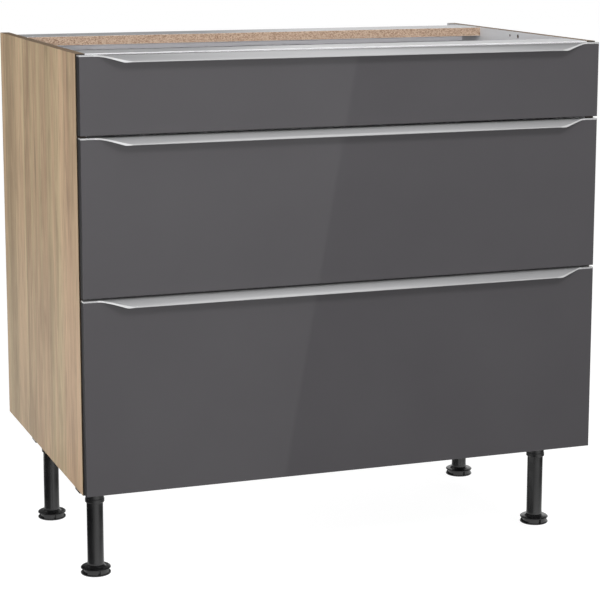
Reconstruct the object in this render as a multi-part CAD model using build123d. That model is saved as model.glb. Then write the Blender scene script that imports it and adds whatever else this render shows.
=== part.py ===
from build123d import *
import math
import os

# Kitchen base cabinet with three drawers on four adjustable legs.
# Millimetres. +X runs along the width, +Y from the fronts to the wall side, +Z up.
# The origin is on the floor, in the middle of the cabinet's outer box.

# ---------------------------------------------------------------- driving sizes
# Carcass: two side panels, a bottom panel, a thin back and two rails.
CARCASS_WIDTH = 900.0
CARCASS_DEPTH = 566.0
CARCASS_HEIGHT = 704.0
BOARD = 16.0                  # chipboard of the carcass and of the drawer bases and backs
BACK_BOARD = 3.0              # hardboard back
DRAWER_TO_BACK = 46.5         # free depth between a shut drawer and the back
BACK_GROOVE_DEPTH = 8.0       # in the side panels
BACK_GROOVE_PLAY = 0.2        # groove wider and deeper than the back by this much
BACK_BELOW_TOP = 4.0          # the back stops this far under the top of the sides
FRONT_RAIL_DEPTH = 70.0       # both rails lie flat
BACK_RAIL_DEPTH = 80.0

# Joints of the carcass: a cam and a wooden dowel, one hole pitch apart.
HOLE_PITCH = 32.0
CAM_INSET = 24.0              # from a board's front edge to its first cam
CAM_DIAMETER = 15.0
CAM_HEIGHT = 12.0
CAM_BACKSET = 24.0            # from the board's end to the middle of the cam
CAM_SLOT = 3.0                # cross slot of the cam
CAM_SLOT_DEPTH = 2.0
BOLT_DIAMETER = 6.0
BOLT_IN_SIDE = 11.0
DOWEL_DIAMETER = 8.0
DOWEL_LENGTH = 30.0
DOWEL_IN_SIDE = 10.0
FITTING_PLAY = 0.1            # round holes wider than their fitting, in radius
SPARE_HOLE_FROM_EDGE = 258.5  # spare pair of holes for a third rail
SPARE_BOLT_HOLE = 5.0
SPARE_HOLE_DEPTH = 11.0
WORKTOP_HOLE = 6.0            # screw holes in the rails, for the worktop
WORKTOP_HOLE_FROM_SIDE = 100.0

# Fronts and grip profiles.
TOP_PITCH = 128.0             # height of the top front with its joint
MIDDLE_PITCH = 256.0          # the bottom front takes what is left
FRONT_BOARD = 16.0
FRONT_TO_CARCASS = 2.0
FRONT_SIDE_REVEAL = 2.0       # the fronts are narrower than the carcass, each side
FRONT_LIFT = 2.0              # a front starts this far above its line of the height grid
PROFILE_DROP = 1.25           # and its grip profile ends this far below the next line
FRONT_EDGE_RADIUS = 1.0
GRIP_WALL = 2.5               # of the curved grip, and of the flange on the front's top edge
GRIP_REACH = 20.0             # nose of the profile ahead of the front
GRIP_FALL = 11.5              # nose below the flange's top
GRIP_FLAT_END = 23.0          # at each end only the flange is left over this length
GRIP_SWOOP = 67.0             # length of the milled S between flange and full grip
GRIP_TURN_IN = 0.1            # share of the S that its first, tight arc takes
GRIP_CUT_PAST_NOSE = 0.6      # the milled S runs out this far ahead of the nose

# Runners: three nested rails each side of each drawer, full extension.
RUNNER_LENGTH = 450.0
RUNNER_SETBACK = 3.0          # behind the carcass's front edge
RUNNER_ABOVE_GRID = 20.0      # underside of the runner above the drawer's grid line
RUNNER_SHEET = 1.5
RUNNER_FLANGE_HEIGHT = 38.0   # upright flange screwed to the side panel
TRACK_FROM_SIDE = 12.0        # side panel's inner face to the track
TRACK_WIDTH = 18.0
TRACK_BORE = 9.0              # clear height inside a track
TRACK_LIP = 3.0               # turned-in lips that hold the rollers down
TRACK_GAP = 1.5               # between the cabinet's track and the drawer's
BEAM_SHEET = 2.0
BEAM_FLANGE_PLAY = 0.8        # middle rail's flange to the track's wall
BEAM_WEB = 3.0
BEAM_SHORTER = 20.0           # the middle rail is shorter than the tracks
ROLLER_PLAY = 0.3             # roller to track floor and lip
ROLLER_END = 15.0             # last roller to the end of its rail
ROLLER_SPAN = 180.0           # between the two rollers of a rail

# Drawer boxes: hollow steel sides, chipboard base and back.
SIDE_WALL = 14.0              # thickness of the double wall
SIDE_SHEET = 1.2
SIDE_RIM_RADIUS = 3.0
LOW_SIDE_HEIGHT = 56.0
DEEP_SIDE_HEIGHT = 84.0
BASE_LIP = 12.0               # turned-in lip that carries the base
BASE_PLAY = 0.2               # base and back to the inner wall
DEEP_BACK_HEIGHT = 175.0      # back board's top above the side's underside, deep drawers
BACK_TAB = 16.0               # tab behind the back board
BRACKET_SHEET = 2.5
BRACKET_TAB = 16.0            # screw tab of the front bracket, inwards of the side
BRACKET_HEIGHT = 44.0
TONGUE_LENGTH = 40.0
TONGUE_PLAY = 1.0
GALLERY_DIAMETER = 10.0
GALLERY_FERRULE = 13.0
GALLERY_FERRULE_LENGTH = 12.0
GALLERY_BELOW_BACK = 14.0     # middle of the gallery rail below the back board's top

# Legs.
LEG_HEIGHT = 166.0            # floor to the underside of the carcass
LEG_FROM_SIDE = 44.0          # outer face of the side panel to the leg
FRONT_LEG_FROM_EDGE = 100.0   # carcass's front edge to the front legs
REAR_LEG_TO_BACK = 75.0       # rear legs to the back's inner face
TUBE_DIAMETER = 28.0
TUBE_WALL = 3.0
TUBE_TOP_BELOW_PLATE = 1.5
NUT_HEIGHT = 36.0             # threaded lower end of the tube
STEM_DIAMETER = 10.0
STEM_LENGTH = 42.0
STEM_PLAY = 0.1
FOOT_DIAMETER = 50.0
FOOT_HEIGHT = 12.0
FOOT_LIP = 2.4
FOOT_WAIST = 1.5              # the middle band lies this far inside the lips
FOOT_POCKET = 4.5             # grip pockets lie this far inside the lips
FOOT_POCKET_ANGLE = 80.0
FOOT_SLOT_ANGLE = 9.0
FOOT_HUB_DIAMETER = 34.0
FOOT_HUB_HEIGHT = 3.0
SOCKET_PLATE = 4.5
SOCKET_WALL = 2.0             # collar round the tube
SOCKET_PLAY = 0.1
SOCKET_DROP = 43.0            # underside of the carcass to the lower end of the collar
SOCKET_INWARD = 27.0          # plate inwards of the leg
SOCKET_BEHIND = 35.0          # plate behind the leg
SOCKET_CORNER = 8.0
REST_LIP_AHEAD = 58.0         # middle of the lip under the side panel, ahead of the leg
REST_LIP_WIDTH = 30.0
REST_LIP_INSET = 1.0          # lip back from the side panel's outer face
SOCKET_RIB = 14.0
SOCKET_RIB_THICKNESS = 2.0

# Small, hidden and repeated round pieces are prisms, to keep the model light.
PIN_SIDES = 8
ROLLER_SIDES = 12
LEG_SIDES = 32

# ---------------------------------------------------------------- places that follow
TOTAL_DEPTH = GRIP_REACH + FRONT_BOARD + FRONT_TO_CARCASS + CARCASS_DEPTH
Y_FACE = GRIP_REACH - TOTAL_DEPTH / 2          # outer face of the fronts
Y_FRONT_BACK = Y_FACE + FRONT_BOARD            # inner face of the fronts
Y_EDGE = Y_FRONT_BACK + FRONT_TO_CARCASS       # front edge of the carcass
Y_REAR = Y_EDGE + CARCASS_DEPTH                # rear edge of the side panels
Y_TRACK = Y_EDGE + RUNNER_SETBACK
Y_BOX = Y_FRONT_BACK + BRACKET_SHEET           # front end of the drawer's sides
Y_BOX_END = Y_BOX + RUNNER_LENGTH
Y_BACK_BOARD = Y_BOX_END - SIDE_SHEET          # rear face of the drawer's back board
Y_BACK = Y_BOX_END + DRAWER_TO_BACK            # inner face of the cabinet's back
X_OUT = CARCASS_WIDTH / 2
X_IN = X_OUT - BOARD
Z_BOTTOM = LEG_HEIGHT
Z_TOP = Z_BOTTOM + CARCASS_HEIGHT
Z_RAIL = Z_TOP - BOARD

LEFT, RIGHT = -1, 1
SIDES = {"left": LEFT, "right": RIGHT}

# Runner section, measured from the side panel's inner face (u) and from the runner's
# underside (w).
U_TRACK = TRACK_FROM_SIDE
U_TRACK_END = U_TRACK + TRACK_WIDTH
U_MID = U_TRACK + TRACK_WIDTH / 2
W_TRACK_TOP = RUNNER_SHEET + TRACK_BORE + RUNNER_SHEET
W_SLIDER = W_TRACK_TOP + TRACK_GAP             # underside of the drawer's track
W_SLIDER_TOP = W_SLIDER + W_TRACK_TOP
U_INNER = U_TRACK_END                          # inner face of the drawer's side
U_OUTER = U_INNER - SIDE_WALL
W_BASE = W_SLIDER_TOP + RUNNER_SHEET           # underside of the drawer's base
W_BASE_TOP = W_BASE + BOARD

# Each drawer: lower and upper line of the height grid, and whether it is a deep one.
GRID = {
    "bottom": (Z_BOTTOM, Z_TOP - TOP_PITCH - MIDDLE_PITCH, True),
    "middle": (Z_TOP - TOP_PITCH - MIDDLE_PITCH, Z_TOP - TOP_PITCH, True),
    "top": (Z_TOP - TOP_PITCH, Z_TOP, False),
}

LEGS = {
    "front_left": (LEFT, Y_EDGE + FRONT_LEG_FROM_EDGE),
    "front_right": (RIGHT, Y_EDGE + FRONT_LEG_FROM_EDGE),
    "rear_left": (LEFT, Y_BACK - REAR_LEG_TO_BACK),
    "rear_right": (RIGHT, Y_BACK - REAR_LEG_TO_BACK),
}


# ---------------------------------------------------------------- helpers
def block(x, y, z):
    """Box between two corners; each argument is a pair of ends."""
    ends = [sorted(pair) for pair in (x, y, z)]
    size = [high - low for low, high in ends]
    middle = [(low + high) / 2 for low, high in ends]
    return Pos(*middle) * Box(*size)


def disc(diameter, sides=None):
    """Circle, or a regular polygon through the circle where a number of sides is given."""
    return RegularPolygon(diameter / 2, sides) if sides else Circle(diameter / 2)


def rod(start, end, diameter, sides=None):
    """Round bar, or a prism, between two points."""
    a, b = Vector(*start), Vector(*end)
    return extrude(Plane(origin=a, z_dir=b - a) * disc(diameter, sides), (b - a).length)


def bar(u, w):
    """Rectangle in a section, between two pairs of ends."""
    (u0, u1), (w0, w1) = sorted(u), sorted(w)
    return Pos((u0 + u1) / 2, (w0 + w1) / 2) * Rectangle(u1 - u0, w1 - w0)


def along_y(section, y0, y1):
    """Push a section, drawn as X and Z, from y0 to y1."""
    plane = Plane(origin=(0, y1, 0), x_dir=(1, 0, 0), z_dir=(0, -1, 0))
    return extrude(plane * section, y1 - y0)


def along_x(section, x0, x1):
    """Push a section, drawn as Y and Z, from x0 to x1."""
    plane = Plane(origin=(x0, 0, 0), x_dir=(0, 1, 0), z_dir=(1, 0, 0))
    return extrude(plane * section, x1 - x0)


def along_z(outline, z0, z1):
    """Push an outline, drawn as X and Y, from z0 to z1."""
    return extrude(Pos(0, 0, z0) * outline, z1 - z0)


def leg_stage(diameter, z0, z1, end_diameter=None):
    """Upright stage of a leg, straight or tapered to its end."""
    shrink = 0 if end_diameter is None else (diameter - end_diameter) / 2
    taper = math.atan2(shrink * math.cos(math.pi / LEG_SIDES), z1 - z0)
    outline = Pos(0, 0, z0) * disc(diameter, LEG_SIDES)
    return extrude(outline, z1 - z0, taper=math.degrees(taper))


def at_side(section, side, z):
    """Place a runner section (u, w) at the left or right side panel, its underside at z."""
    if side == RIGHT:
        section = mirror(section, Plane.YZ)
    return Pos(side * X_IN, z) * section


# ---------------------------------------------------------------- carcass
def rail_front_edges():
    """Front edge of each board that is joined to the sides, and the cams of one end."""
    back_rail = Y_BACK - BACK_RAIL_DEPTH
    bottom_rear_cam = Y_BACK - CAM_INSET - HOLE_PITCH
    return {
        "front_rail": (Z_RAIL, [Y_EDGE + CAM_INSET]),
        "back_rail": (Z_RAIL, [back_rail + CAM_INSET]),
        "bottom_panel": (Z_BOTTOM, [Y_EDGE + CAM_INSET, bottom_rear_cam]),
    }


def joints_of(board):
    """Bolt and dowel centre lines of one board: (y of bolt, y of dowel, z)."""
    z, cams = rail_front_edges()[board]
    return [(y, y + HOLE_PITCH, z + BOARD / 2) for y in cams]


def all_joints():
    return [joint for board in rail_front_edges() for joint in joints_of(board)]


def side_panel(side):
    panel = block((side * X_IN, side * X_OUT), (Y_EDGE, Y_REAR), (Z_BOTTOM, Z_TOP))
    groove_play = BACK_GROOVE_PLAY / 2
    panel -= block(
        (side * X_IN, side * (X_IN + BACK_GROOVE_DEPTH)),
        (Y_BACK - groove_play, Y_BACK + BACK_BOARD + groove_play),
        (Z_BOTTOM, Z_TOP),
    )
    holes = []
    for y_bolt, y_dowel, z in all_joints():
        holes.append((y_bolt, z, BOLT_DIAMETER + 2 * FITTING_PLAY, BOLT_IN_SIDE))
        holes.append((y_dowel, z, DOWEL_DIAMETER + 2 * FITTING_PLAY, DOWEL_IN_SIDE))
    y_spare = Y_EDGE + SPARE_HOLE_FROM_EDGE
    holes.append((y_spare, Z_RAIL + BOARD / 2, DOWEL_DIAMETER, SPARE_HOLE_DEPTH))
    holes.append((y_spare + HOLE_PITCH, Z_RAIL + BOARD / 2, SPARE_BOLT_HOLE, SPARE_HOLE_DEPTH))
    for y, z, diameter, depth in holes:
        panel -= rod((side * X_IN, y, z), (side * (X_IN + depth), y, z), diameter, PIN_SIDES)
    return panel


def joined_board(name, y0, y1):
    """Board between the side panels, bored at both ends for its cams, bolts and dowels."""
    z0 = rail_front_edges()[name][0]
    board = block((-X_IN, X_IN), (y0, y1), (z0, z0 + BOARD))
    for side in SIDES.values():
        for y_bolt, y_dowel, z in joints_of(name):
            x_cam = side * (X_IN - CAM_BACKSET)
            x_dowel = side * (X_IN - DOWEL_LENGTH + DOWEL_IN_SIDE)
            play = 2 * FITTING_PLAY
            bores = (
                ((x_cam, y_bolt, z0), (x_cam, y_bolt, z0 + CAM_HEIGHT), CAM_DIAMETER, ROLLER_SIDES),
                ((x_cam, y_bolt, z), (side * X_IN, y_bolt, z), BOLT_DIAMETER, PIN_SIDES),
                ((x_dowel, y_dowel, z), (side * X_IN, y_dowel, z), DOWEL_DIAMETER, PIN_SIDES),
            )
            for start, end, diameter, sides in bores:
                board -= rod(start, end, diameter + play, sides)
    return board


def rail(name, y0, y1):
    board = joined_board(name, y0, y1)
    for side in SIDES.values():
        x = side * (X_OUT - WORKTOP_HOLE_FROM_SIDE)
        y = (y0 + y1) / 2
        board -= rod((x, y, Z_RAIL), (x, y, Z_TOP), WORKTOP_HOLE)
    return board


def back_panel():
    half_width = X_IN + BACK_GROOVE_DEPTH - BACK_GROOVE_PLAY
    return block(
        (-half_width, half_width), (Y_BACK, Y_BACK + BACK_BOARD), (Z_BOTTOM, Z_TOP - BACK_BELOW_TOP)
    )


def dowels():
    solids = []
    for side in SIDES.values():
        for _, y, z in all_joints():
            inner = side * (X_IN - DOWEL_LENGTH + DOWEL_IN_SIDE)
            outer = side * (X_IN + DOWEL_IN_SIDE)
            solids.append(rod((inner, y, z), (outer, y, z), DOWEL_DIAMETER, PIN_SIDES))
    return solids


def cam_fittings():
    """Each fitting is a slotted cam with the bolt that it pulls."""
    solids = []
    for side in SIDES.values():
        for y, _, z in all_joints():
            z0 = z - BOARD / 2
            x_cam = side * (X_IN - CAM_BACKSET)
            cam = rod((x_cam, y, z0), (x_cam, y, z0 + CAM_HEIGHT), CAM_DIAMETER, ROLLER_SIDES)
            cam -= Pos(x_cam, y, z0) * Box(CAM_SLOT, CAM_DIAMETER, 2 * CAM_SLOT_DEPTH)
            bolt_end = (side * (X_IN + BOLT_IN_SIDE), y, z)
            bolt = rod((x_cam, y, z), bolt_end, BOLT_DIAMETER, PIN_SIDES)
            solids.append(cam + bolt)
    return solids


# ---------------------------------------------------------------- runners
def cabinet_rail(side, z):
    """Fixed rail: upright screw flange, web and a track that is open at its top."""
    section = bar((0, RUNNER_SHEET), (0, RUNNER_FLANGE_HEIGHT))
    section += bar((0, U_TRACK_END), (0, RUNNER_SHEET))
    section += track_walls(RUNNER_SHEET, W_TRACK_TOP, W_TRACK_TOP - RUNNER_SHEET)
    return along_y(at_side(section, side, z), Y_TRACK, Y_TRACK + RUNNER_LENGTH)


def track_walls(w0, w1, w_lip):
    """The two walls of a track between w0 and w1, with lips turned in at w_lip."""
    lip = (w_lip, w_lip + RUNNER_SHEET)
    walls = bar((U_TRACK, U_TRACK + RUNNER_SHEET), (w0, w1))
    walls += bar((U_TRACK_END - RUNNER_SHEET, U_TRACK_END), (w0, w1))
    walls += bar((U_TRACK, U_TRACK + RUNNER_SHEET + TRACK_LIP), lip)
    walls += bar((U_TRACK_END - RUNNER_SHEET - TRACK_LIP, U_TRACK_END), lip)
    return walls


def drawer_rail(side, z):
    """Rail under the drawer's side: the same track upside down."""
    section = track_walls(W_SLIDER, W_SLIDER_TOP - RUNNER_SHEET, W_SLIDER)
    section += bar((U_TRACK, U_TRACK_END), (W_SLIDER_TOP - RUNNER_SHEET, W_SLIDER_TOP))
    return along_y(at_side(section, side, z), Y_TRACK, Y_TRACK + RUNNER_LENGTH)


def middle_rail(side, z):
    """Beam that runs in both tracks, on two rollers in each."""
    half_flange = TRACK_WIDTH / 2 - RUNNER_SHEET - BEAM_FLANGE_PLAY
    flange = (U_MID - half_flange, U_MID + half_flange)
    w_low = RUNNER_SHEET + TRACK_BORE / 2
    w_high = W_SLIDER + RUNNER_SHEET + TRACK_BORE / 2
    section = bar(flange, (w_low - BEAM_SHEET / 2, w_low + BEAM_SHEET / 2))
    section += bar(flange, (w_high - BEAM_SHEET / 2, w_high + BEAM_SHEET / 2))
    section += bar((U_MID - BEAM_WEB / 2, U_MID + BEAM_WEB / 2), (w_low, w_high))
    y0 = Y_TRACK + BEAM_SHORTER / 2
    y1 = Y_TRACK + RUNNER_LENGTH - BEAM_SHORTER / 2
    beam = along_y(at_side(section, side, z), y0, y1)
    roller = TRACK_BORE - 2 * ROLLER_PLAY
    x0, x1 = side * (X_IN - flange[0]), side * (X_IN - flange[1])
    rows = ((w_low, y1 - ROLLER_END, -1), (w_high, y0 + ROLLER_END, 1))
    for w, y_end, step in rows:
        for y in (y_end, y_end + step * ROLLER_SPAN):
            beam += rod((x0, y, z + w), (x1, y, z + w), roller, ROLLER_SIDES)
    return beam


# ---------------------------------------------------------------- drawers
def side_height(deep):
    return DEEP_SIDE_HEIGHT if deep else LOW_SIDE_HEIGHT


def back_height(deep):
    """Top of the back board above the underside of the drawer's sides."""
    return DEEP_BACK_HEIGHT if deep else LOW_SIDE_HEIGHT


def drawer_side(side, z, deep):
    """Hollow double wall with a lip for the base and a tab behind the back board."""
    w0 = W_SLIDER_TOP
    w1 = w0 + side_height(deep)
    outer = bar((U_OUTER, U_INNER), (w0, w1))
    top_corners = outer.vertices().sort_by(Axis.Y)[-2:]
    outer = fillet(top_corners, SIDE_RIM_RADIUS)
    hollow = bar((U_OUTER + SIDE_SHEET, U_INNER - SIDE_SHEET), (w0 + RUNNER_SHEET, w1 - SIDE_SHEET))
    section = outer - hollow
    section += bar((U_INNER - SIDE_SHEET, U_INNER + BASE_LIP), (w0, w0 + RUNNER_SHEET))
    tab = bar((U_OUTER, U_INNER + BACK_TAB), (w0, w0 + back_height(deep)))
    wall = along_y(at_side(section, side, z), Y_BOX, Y_BOX_END)
    return wall + along_y(at_side(tab, side, z), Y_BACK_BOARD, Y_BOX_END)


def drawer_base(z):
    half_width = X_IN - U_INNER - BASE_PLAY
    return block(
        (-half_width, half_width), (Y_FRONT_BACK, Y_BACK_BOARD), (z + W_BASE, z + W_BASE_TOP)
    )


def drawer_back(z, deep):
    half_width = X_IN - U_INNER - BASE_PLAY
    top = z + W_SLIDER_TOP + back_height(deep)
    return block((-half_width, half_width), (Y_BACK_BOARD - BOARD, Y_BACK_BOARD), (z + W_BASE_TOP, top))


def front_brackets(z):
    """Steel brackets: a tongue in each hollow side and a screw tab on the front."""
    solids = []
    w0 = W_SLIDER_TOP + RUNNER_SHEET
    w_tab = W_BASE_TOP + TONGUE_PLAY
    w1 = w0 + BRACKET_HEIGHT
    for side in SIDES.values():
        plate = bar((U_OUTER, U_INNER), (w0, w1))
        plate += bar((U_INNER - BRACKET_SHEET, U_INNER + BRACKET_TAB), (w_tab, w1))
        tongue = bar(
            (U_OUTER + SIDE_SHEET + TONGUE_PLAY, U_INNER - SIDE_SHEET - TONGUE_PLAY),
            (w0 + TONGUE_PLAY, w1 - TONGUE_PLAY),
        )
        bracket = along_y(at_side(plate, side, z), Y_FRONT_BACK, Y_BOX)
        bracket += along_y(at_side(tongue, side, z), Y_BOX, Y_BOX + TONGUE_LENGTH)
        solids.append(bracket)
    return solids


def gallery_rails(z):
    """Round rail over each side of a deep drawer, from the front to the back tab."""
    solids = []
    w = W_SLIDER_TOP + DEEP_BACK_HEIGHT - GALLERY_BELOW_BACK
    for side in SIDES.values():
        x = side * (X_IN - (U_OUTER + U_INNER) / 2)
        start, end = (x, Y_FRONT_BACK, z + w), (x, Y_BACK_BOARD, z + w)
        tube = rod(start, end, GALLERY_DIAMETER, ROLLER_SIDES)
        for y, step in ((Y_FRONT_BACK, 1), (Y_BACK_BOARD, -1)):
            inner = (x, y + step * GALLERY_FERRULE_LENGTH, z + w)
            tube += rod((x, y, z + w), inner, GALLERY_FERRULE, ROLLER_SIDES)
        solids.append(tube)
    return solids


def front_panel(z0, z1):
    half_width = X_OUT - FRONT_SIDE_REVEAL
    top = z1 - PROFILE_DROP - GRIP_WALL
    panel = block((-half_width, half_width), (Y_FACE, Y_FRONT_BACK), (z0 + FRONT_LIFT, top))
    face_edges = panel.faces().sort_by(Axis.Y)[0].edges()
    return fillet(face_edges, FRONT_EDGE_RADIUS)


def grip_profile(z1):
    """Aluminium profile: flat flange, curved grip, and an S milled at both ends.

    The grip's wall follows an arc that leaves the flange level. Its nose is round.
    """
    round_nose = GRIP_WALL / 2
    half_turn = math.atan2(GRIP_FALL - GRIP_WALL, GRIP_REACH - round_nose)
    nose_turn = 2 * half_turn
    mid_radius = (GRIP_REACH - round_nose) / math.sin(nose_turn)
    top = z1 - PROFILE_DROP
    centre = (Y_FACE, top - round_nose - mid_radius)

    def on_arc(turn, offset):
        radius = mid_radius + offset
        return (centre[0] - radius * math.sin(turn), centre[1] + radius * math.cos(turn))

    def arc(offset, first, last):
        turns = (first, (first + last) / 2, last)
        return ThreePointArc(*(on_arc(turn, offset) for turn in turns))

    upper = arc(round_nose, 0, nose_turn)
    lower = arc(-round_nose, nose_turn, 0)
    ahead = Vector(-math.cos(nose_turn), -math.sin(nose_turn)) * round_nose
    nose = ThreePointArc(upper @ 1, Vector(*on_arc(nose_turn, 0)) + ahead, lower @ 0)
    back_low = (Y_FRONT_BACK, top - GRIP_WALL)
    flange = Polyline(lower @ 1, back_low, (Y_FRONT_BACK, top), upper @ 0)
    section = make_face(Curve() + [upper, nose, lower, flange])
    half_width = X_OUT - FRONT_SIDE_REVEAL
    profile = along_x(section, -half_width, half_width)
    for side in SIDES.values():
        profile -= along_z(swoop_outline(side, half_width), top - 2 * GRIP_FALL, top + GRIP_WALL)
    return profile


def swoop_outline(side, half_width):
    """What the cutter takes off one end, seen from above: a tight and a wide arc make the S."""
    reach = GRIP_REACH + GRIP_CUT_PAST_NOSE
    start = Vector(side * (half_width - GRIP_FLAT_END), Y_FACE)
    end = Vector(start.X - side * GRIP_SWOOP, Y_FACE - reach)
    bend = start + (end - start) * GRIP_TURN_IN
    first = TangentArc(start, bend, tangent=(-side, 0))
    second = TangentArc(end, bend, tangent=(side, 0))
    corner = side * (half_width + reach)
    rest = Polyline(end, (end.X, end.Y - reach), (corner, end.Y - reach), (corner, Y_FACE), start)
    return make_face(Curve() + [first, second, rest])


# ---------------------------------------------------------------- legs
def leg_x(side):
    return side * (X_OUT - LEG_FROM_SIDE)


def leg_socket(side, y):
    """Plate under the bottom panel, collar for the tube, lip under the side panel."""
    x = leg_x(side)
    z1 = Z_BOTTOM
    z0 = z1 - SOCKET_PLATE
    y_lip = y - REST_LIP_AHEAD
    x_inner = x - side * SOCKET_INWARD
    y0, y1 = y_lip - REST_LIP_WIDTH / 2, y + SOCKET_BEHIND
    plate_width = abs(side * X_IN - x_inner)
    outline = Pos((x_inner + side * X_IN) / 2, (y0 + y1) / 2) * RectangleRounded(
        plate_width, y1 - y0, SOCKET_CORNER
    )
    lip = bar(
        (side * (X_IN - SOCKET_CORNER), side * (X_OUT - REST_LIP_INSET)),
        (y_lip - REST_LIP_WIDTH / 2, y_lip + REST_LIP_WIDTH / 2),
    )
    socket = along_z(outline + lip, z0, z1)
    collar = TUBE_DIAMETER + 2 * (SOCKET_PLAY + SOCKET_WALL)
    socket += Pos(x, y, 0) * leg_stage(collar, z1 - SOCKET_DROP, z0)
    root = collar / 2 - SOCKET_WALL / 2
    triangle = Polyline(
        (root, z0), (collar / 2 + SOCKET_RIB, z0), (root, z0 - SOCKET_RIB), close=True
    )
    rib = along_y(make_face(triangle), -SOCKET_RIB_THICKNESS / 2, SOCKET_RIB_THICKNESS / 2)
    for turn in (45, 135, 225, 315):
        socket += Pos(x, y, 0) * Rot(0, 0, turn) * rib
    bore = TUBE_DIAMETER + 2 * SOCKET_PLAY
    return socket - Pos(x, y, 0) * leg_stage(bore, z1 - SOCKET_DROP, z0 - TUBE_TOP_BELOW_PLATE)


def leg_tube(side, y):
    """Hollow leg with a threaded lower end for the foot's stem."""
    z0, z1 = FOOT_HEIGHT + FOOT_HUB_HEIGHT, Z_BOTTOM - SOCKET_PLATE - TUBE_TOP_BELOW_PLATE
    tube = leg_stage(TUBE_DIAMETER, z0, z1)
    hollow = TUBE_DIAMETER - 2 * TUBE_WALL
    tube -= along_z(disc(hollow, ROLLER_SIDES), z0 + NUT_HEIGHT, z1)
    tube -= along_z(disc(STEM_DIAMETER + 2 * STEM_PLAY, ROLLER_SIDES), z0, z0 + NUT_HEIGHT)
    return Pos(leg_x(side), y, 0) * tube


def foot(side, y):
    """Screw-in foot: stem, hub and a disc with two lips, grip pockets and tool slots."""
    z_band = (FOOT_LIP, FOOT_HEIGHT - FOOT_LIP)
    z_hub = FOOT_HEIGHT + FOOT_HUB_HEIGHT
    floor = FOOT_DIAMETER - 2 * FOOT_POCKET
    band = disc(FOOT_DIAMETER - 2 * FOOT_WAIST, LEG_SIDES) - disc(floor, LEG_SIDES)
    for turn, angle in (
        (0, FOOT_POCKET_ANGLE), (180, FOOT_POCKET_ANGLE), (90, FOOT_SLOT_ANGLE), (270, FOOT_SLOT_ANGLE)
    ):
        band -= Rot(0, 0, turn) * wedge(angle)
    body = leg_stage(FOOT_DIAMETER, 0, FOOT_LIP)
    body += leg_stage(floor, *z_band)
    body += along_z(band, *z_band)
    body += leg_stage(FOOT_DIAMETER, z_band[1], FOOT_HEIGHT - FOOT_LIP / 2)
    body += leg_stage(FOOT_DIAMETER, FOOT_HEIGHT - FOOT_LIP / 2, FOOT_HEIGHT, FOOT_DIAMETER - FOOT_LIP)
    body += leg_stage(FOOT_HUB_DIAMETER, FOOT_HEIGHT, z_hub, TUBE_DIAMETER)
    body += along_z(disc(STEM_DIAMETER, ROLLER_SIDES), z_hub, z_hub + STEM_LENGTH)
    return Pos(leg_x(side), y, 0) * body


def wedge(angle):
    """Slice of the foot's band, as wide as the angle, along +X."""
    reach = FOOT_DIAMETER
    half_width = reach * math.tan(math.radians(angle / 2))
    return make_face(Polyline((0, 0), (reach, -half_width), (reach, half_width), close=True))


# ---------------------------------------------------------------- the whole cabinet
def build():
    """Every node of the cabinet: its name and its solids."""
    nodes = {
        "bottom_panel": joined_board("bottom_panel", Y_EDGE, Y_BACK),
        "back_panel": back_panel(),
        "front_rail": rail("front_rail", Y_EDGE, Y_EDGE + FRONT_RAIL_DEPTH),
        "back_rail": rail("back_rail", Y_BACK - BACK_RAIL_DEPTH, Y_BACK),
        "dowels": dowels(),
        "cam_fittings": cam_fittings(),
    }
    for word, side in SIDES.items():
        nodes[f"side_panel_{word}"] = side_panel(side)
    for drawer, (z0, z1, deep) in GRID.items():
        z = z0 + RUNNER_ABOVE_GRID
        for word, side in SIDES.items():
            nodes[f"cabinet_rail_{drawer}_{word}"] = cabinet_rail(side, z)
            nodes[f"middle_rail_{drawer}_{word}"] = middle_rail(side, z)
            nodes[f"drawer_side_{drawer}_{word}"] = drawer_side(side, z, deep)
        nodes[f"drawer_rails_{drawer}"] = [drawer_rail(side, z) for side in SIDES.values()]
        nodes[f"drawer_base_{drawer}"] = drawer_base(z)
        nodes[f"drawer_back_{drawer}"] = drawer_back(z, deep)
        nodes[f"front_brackets_{drawer}"] = front_brackets(z)
        nodes[f"front_{drawer}"] = front_panel(z0, z1)
        nodes[f"grip_profile_{drawer}"] = grip_profile(z1)
        if deep:
            nodes[f"gallery_rails_{drawer}"] = gallery_rails(z)
    for word, (side, y) in LEGS.items():
        nodes[f"leg_socket_{word}"] = leg_socket(side, y)
        nodes[f"leg_tube_{word}"] = leg_tube(side, y)
        nodes[f"foot_{word}"] = foot(side, y)
    return nodes


os.makedirs("parts", exist_ok=True)
for name, shape in build().items():
    solids = shape if isinstance(shape, list) else [shape]
    parts = [solid for piece in solids for solid in piece.solids()]
    export_step(Compound(children=parts) if len(parts) > 1 else parts[0], f"parts/{name}.step")
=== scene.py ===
"""Kitchen base cabinet with three drawers: the finish of its boards, grips, legs, drawers
and runners, and a plain studio round it. Lengths are metres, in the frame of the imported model."""

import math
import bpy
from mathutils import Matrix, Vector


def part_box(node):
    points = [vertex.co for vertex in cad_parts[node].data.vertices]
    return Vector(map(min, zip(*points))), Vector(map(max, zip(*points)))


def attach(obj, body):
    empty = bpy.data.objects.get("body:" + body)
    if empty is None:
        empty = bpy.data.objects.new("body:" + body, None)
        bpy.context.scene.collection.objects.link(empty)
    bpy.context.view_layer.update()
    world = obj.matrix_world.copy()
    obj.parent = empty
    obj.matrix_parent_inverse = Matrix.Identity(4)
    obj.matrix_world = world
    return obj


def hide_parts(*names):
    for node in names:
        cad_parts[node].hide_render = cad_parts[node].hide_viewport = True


bl_info = {
    "name": "Drawer cabinet",
    "version": (1, 0, 0),
    "blender": (4, 5, 0),
    "location": "View3D > Sidebar > Cabinet",
    "description": "Makes the grips, legs, rollers, screws and finishes of a drawer cabinet",
    "category": "Object",
}

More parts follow.
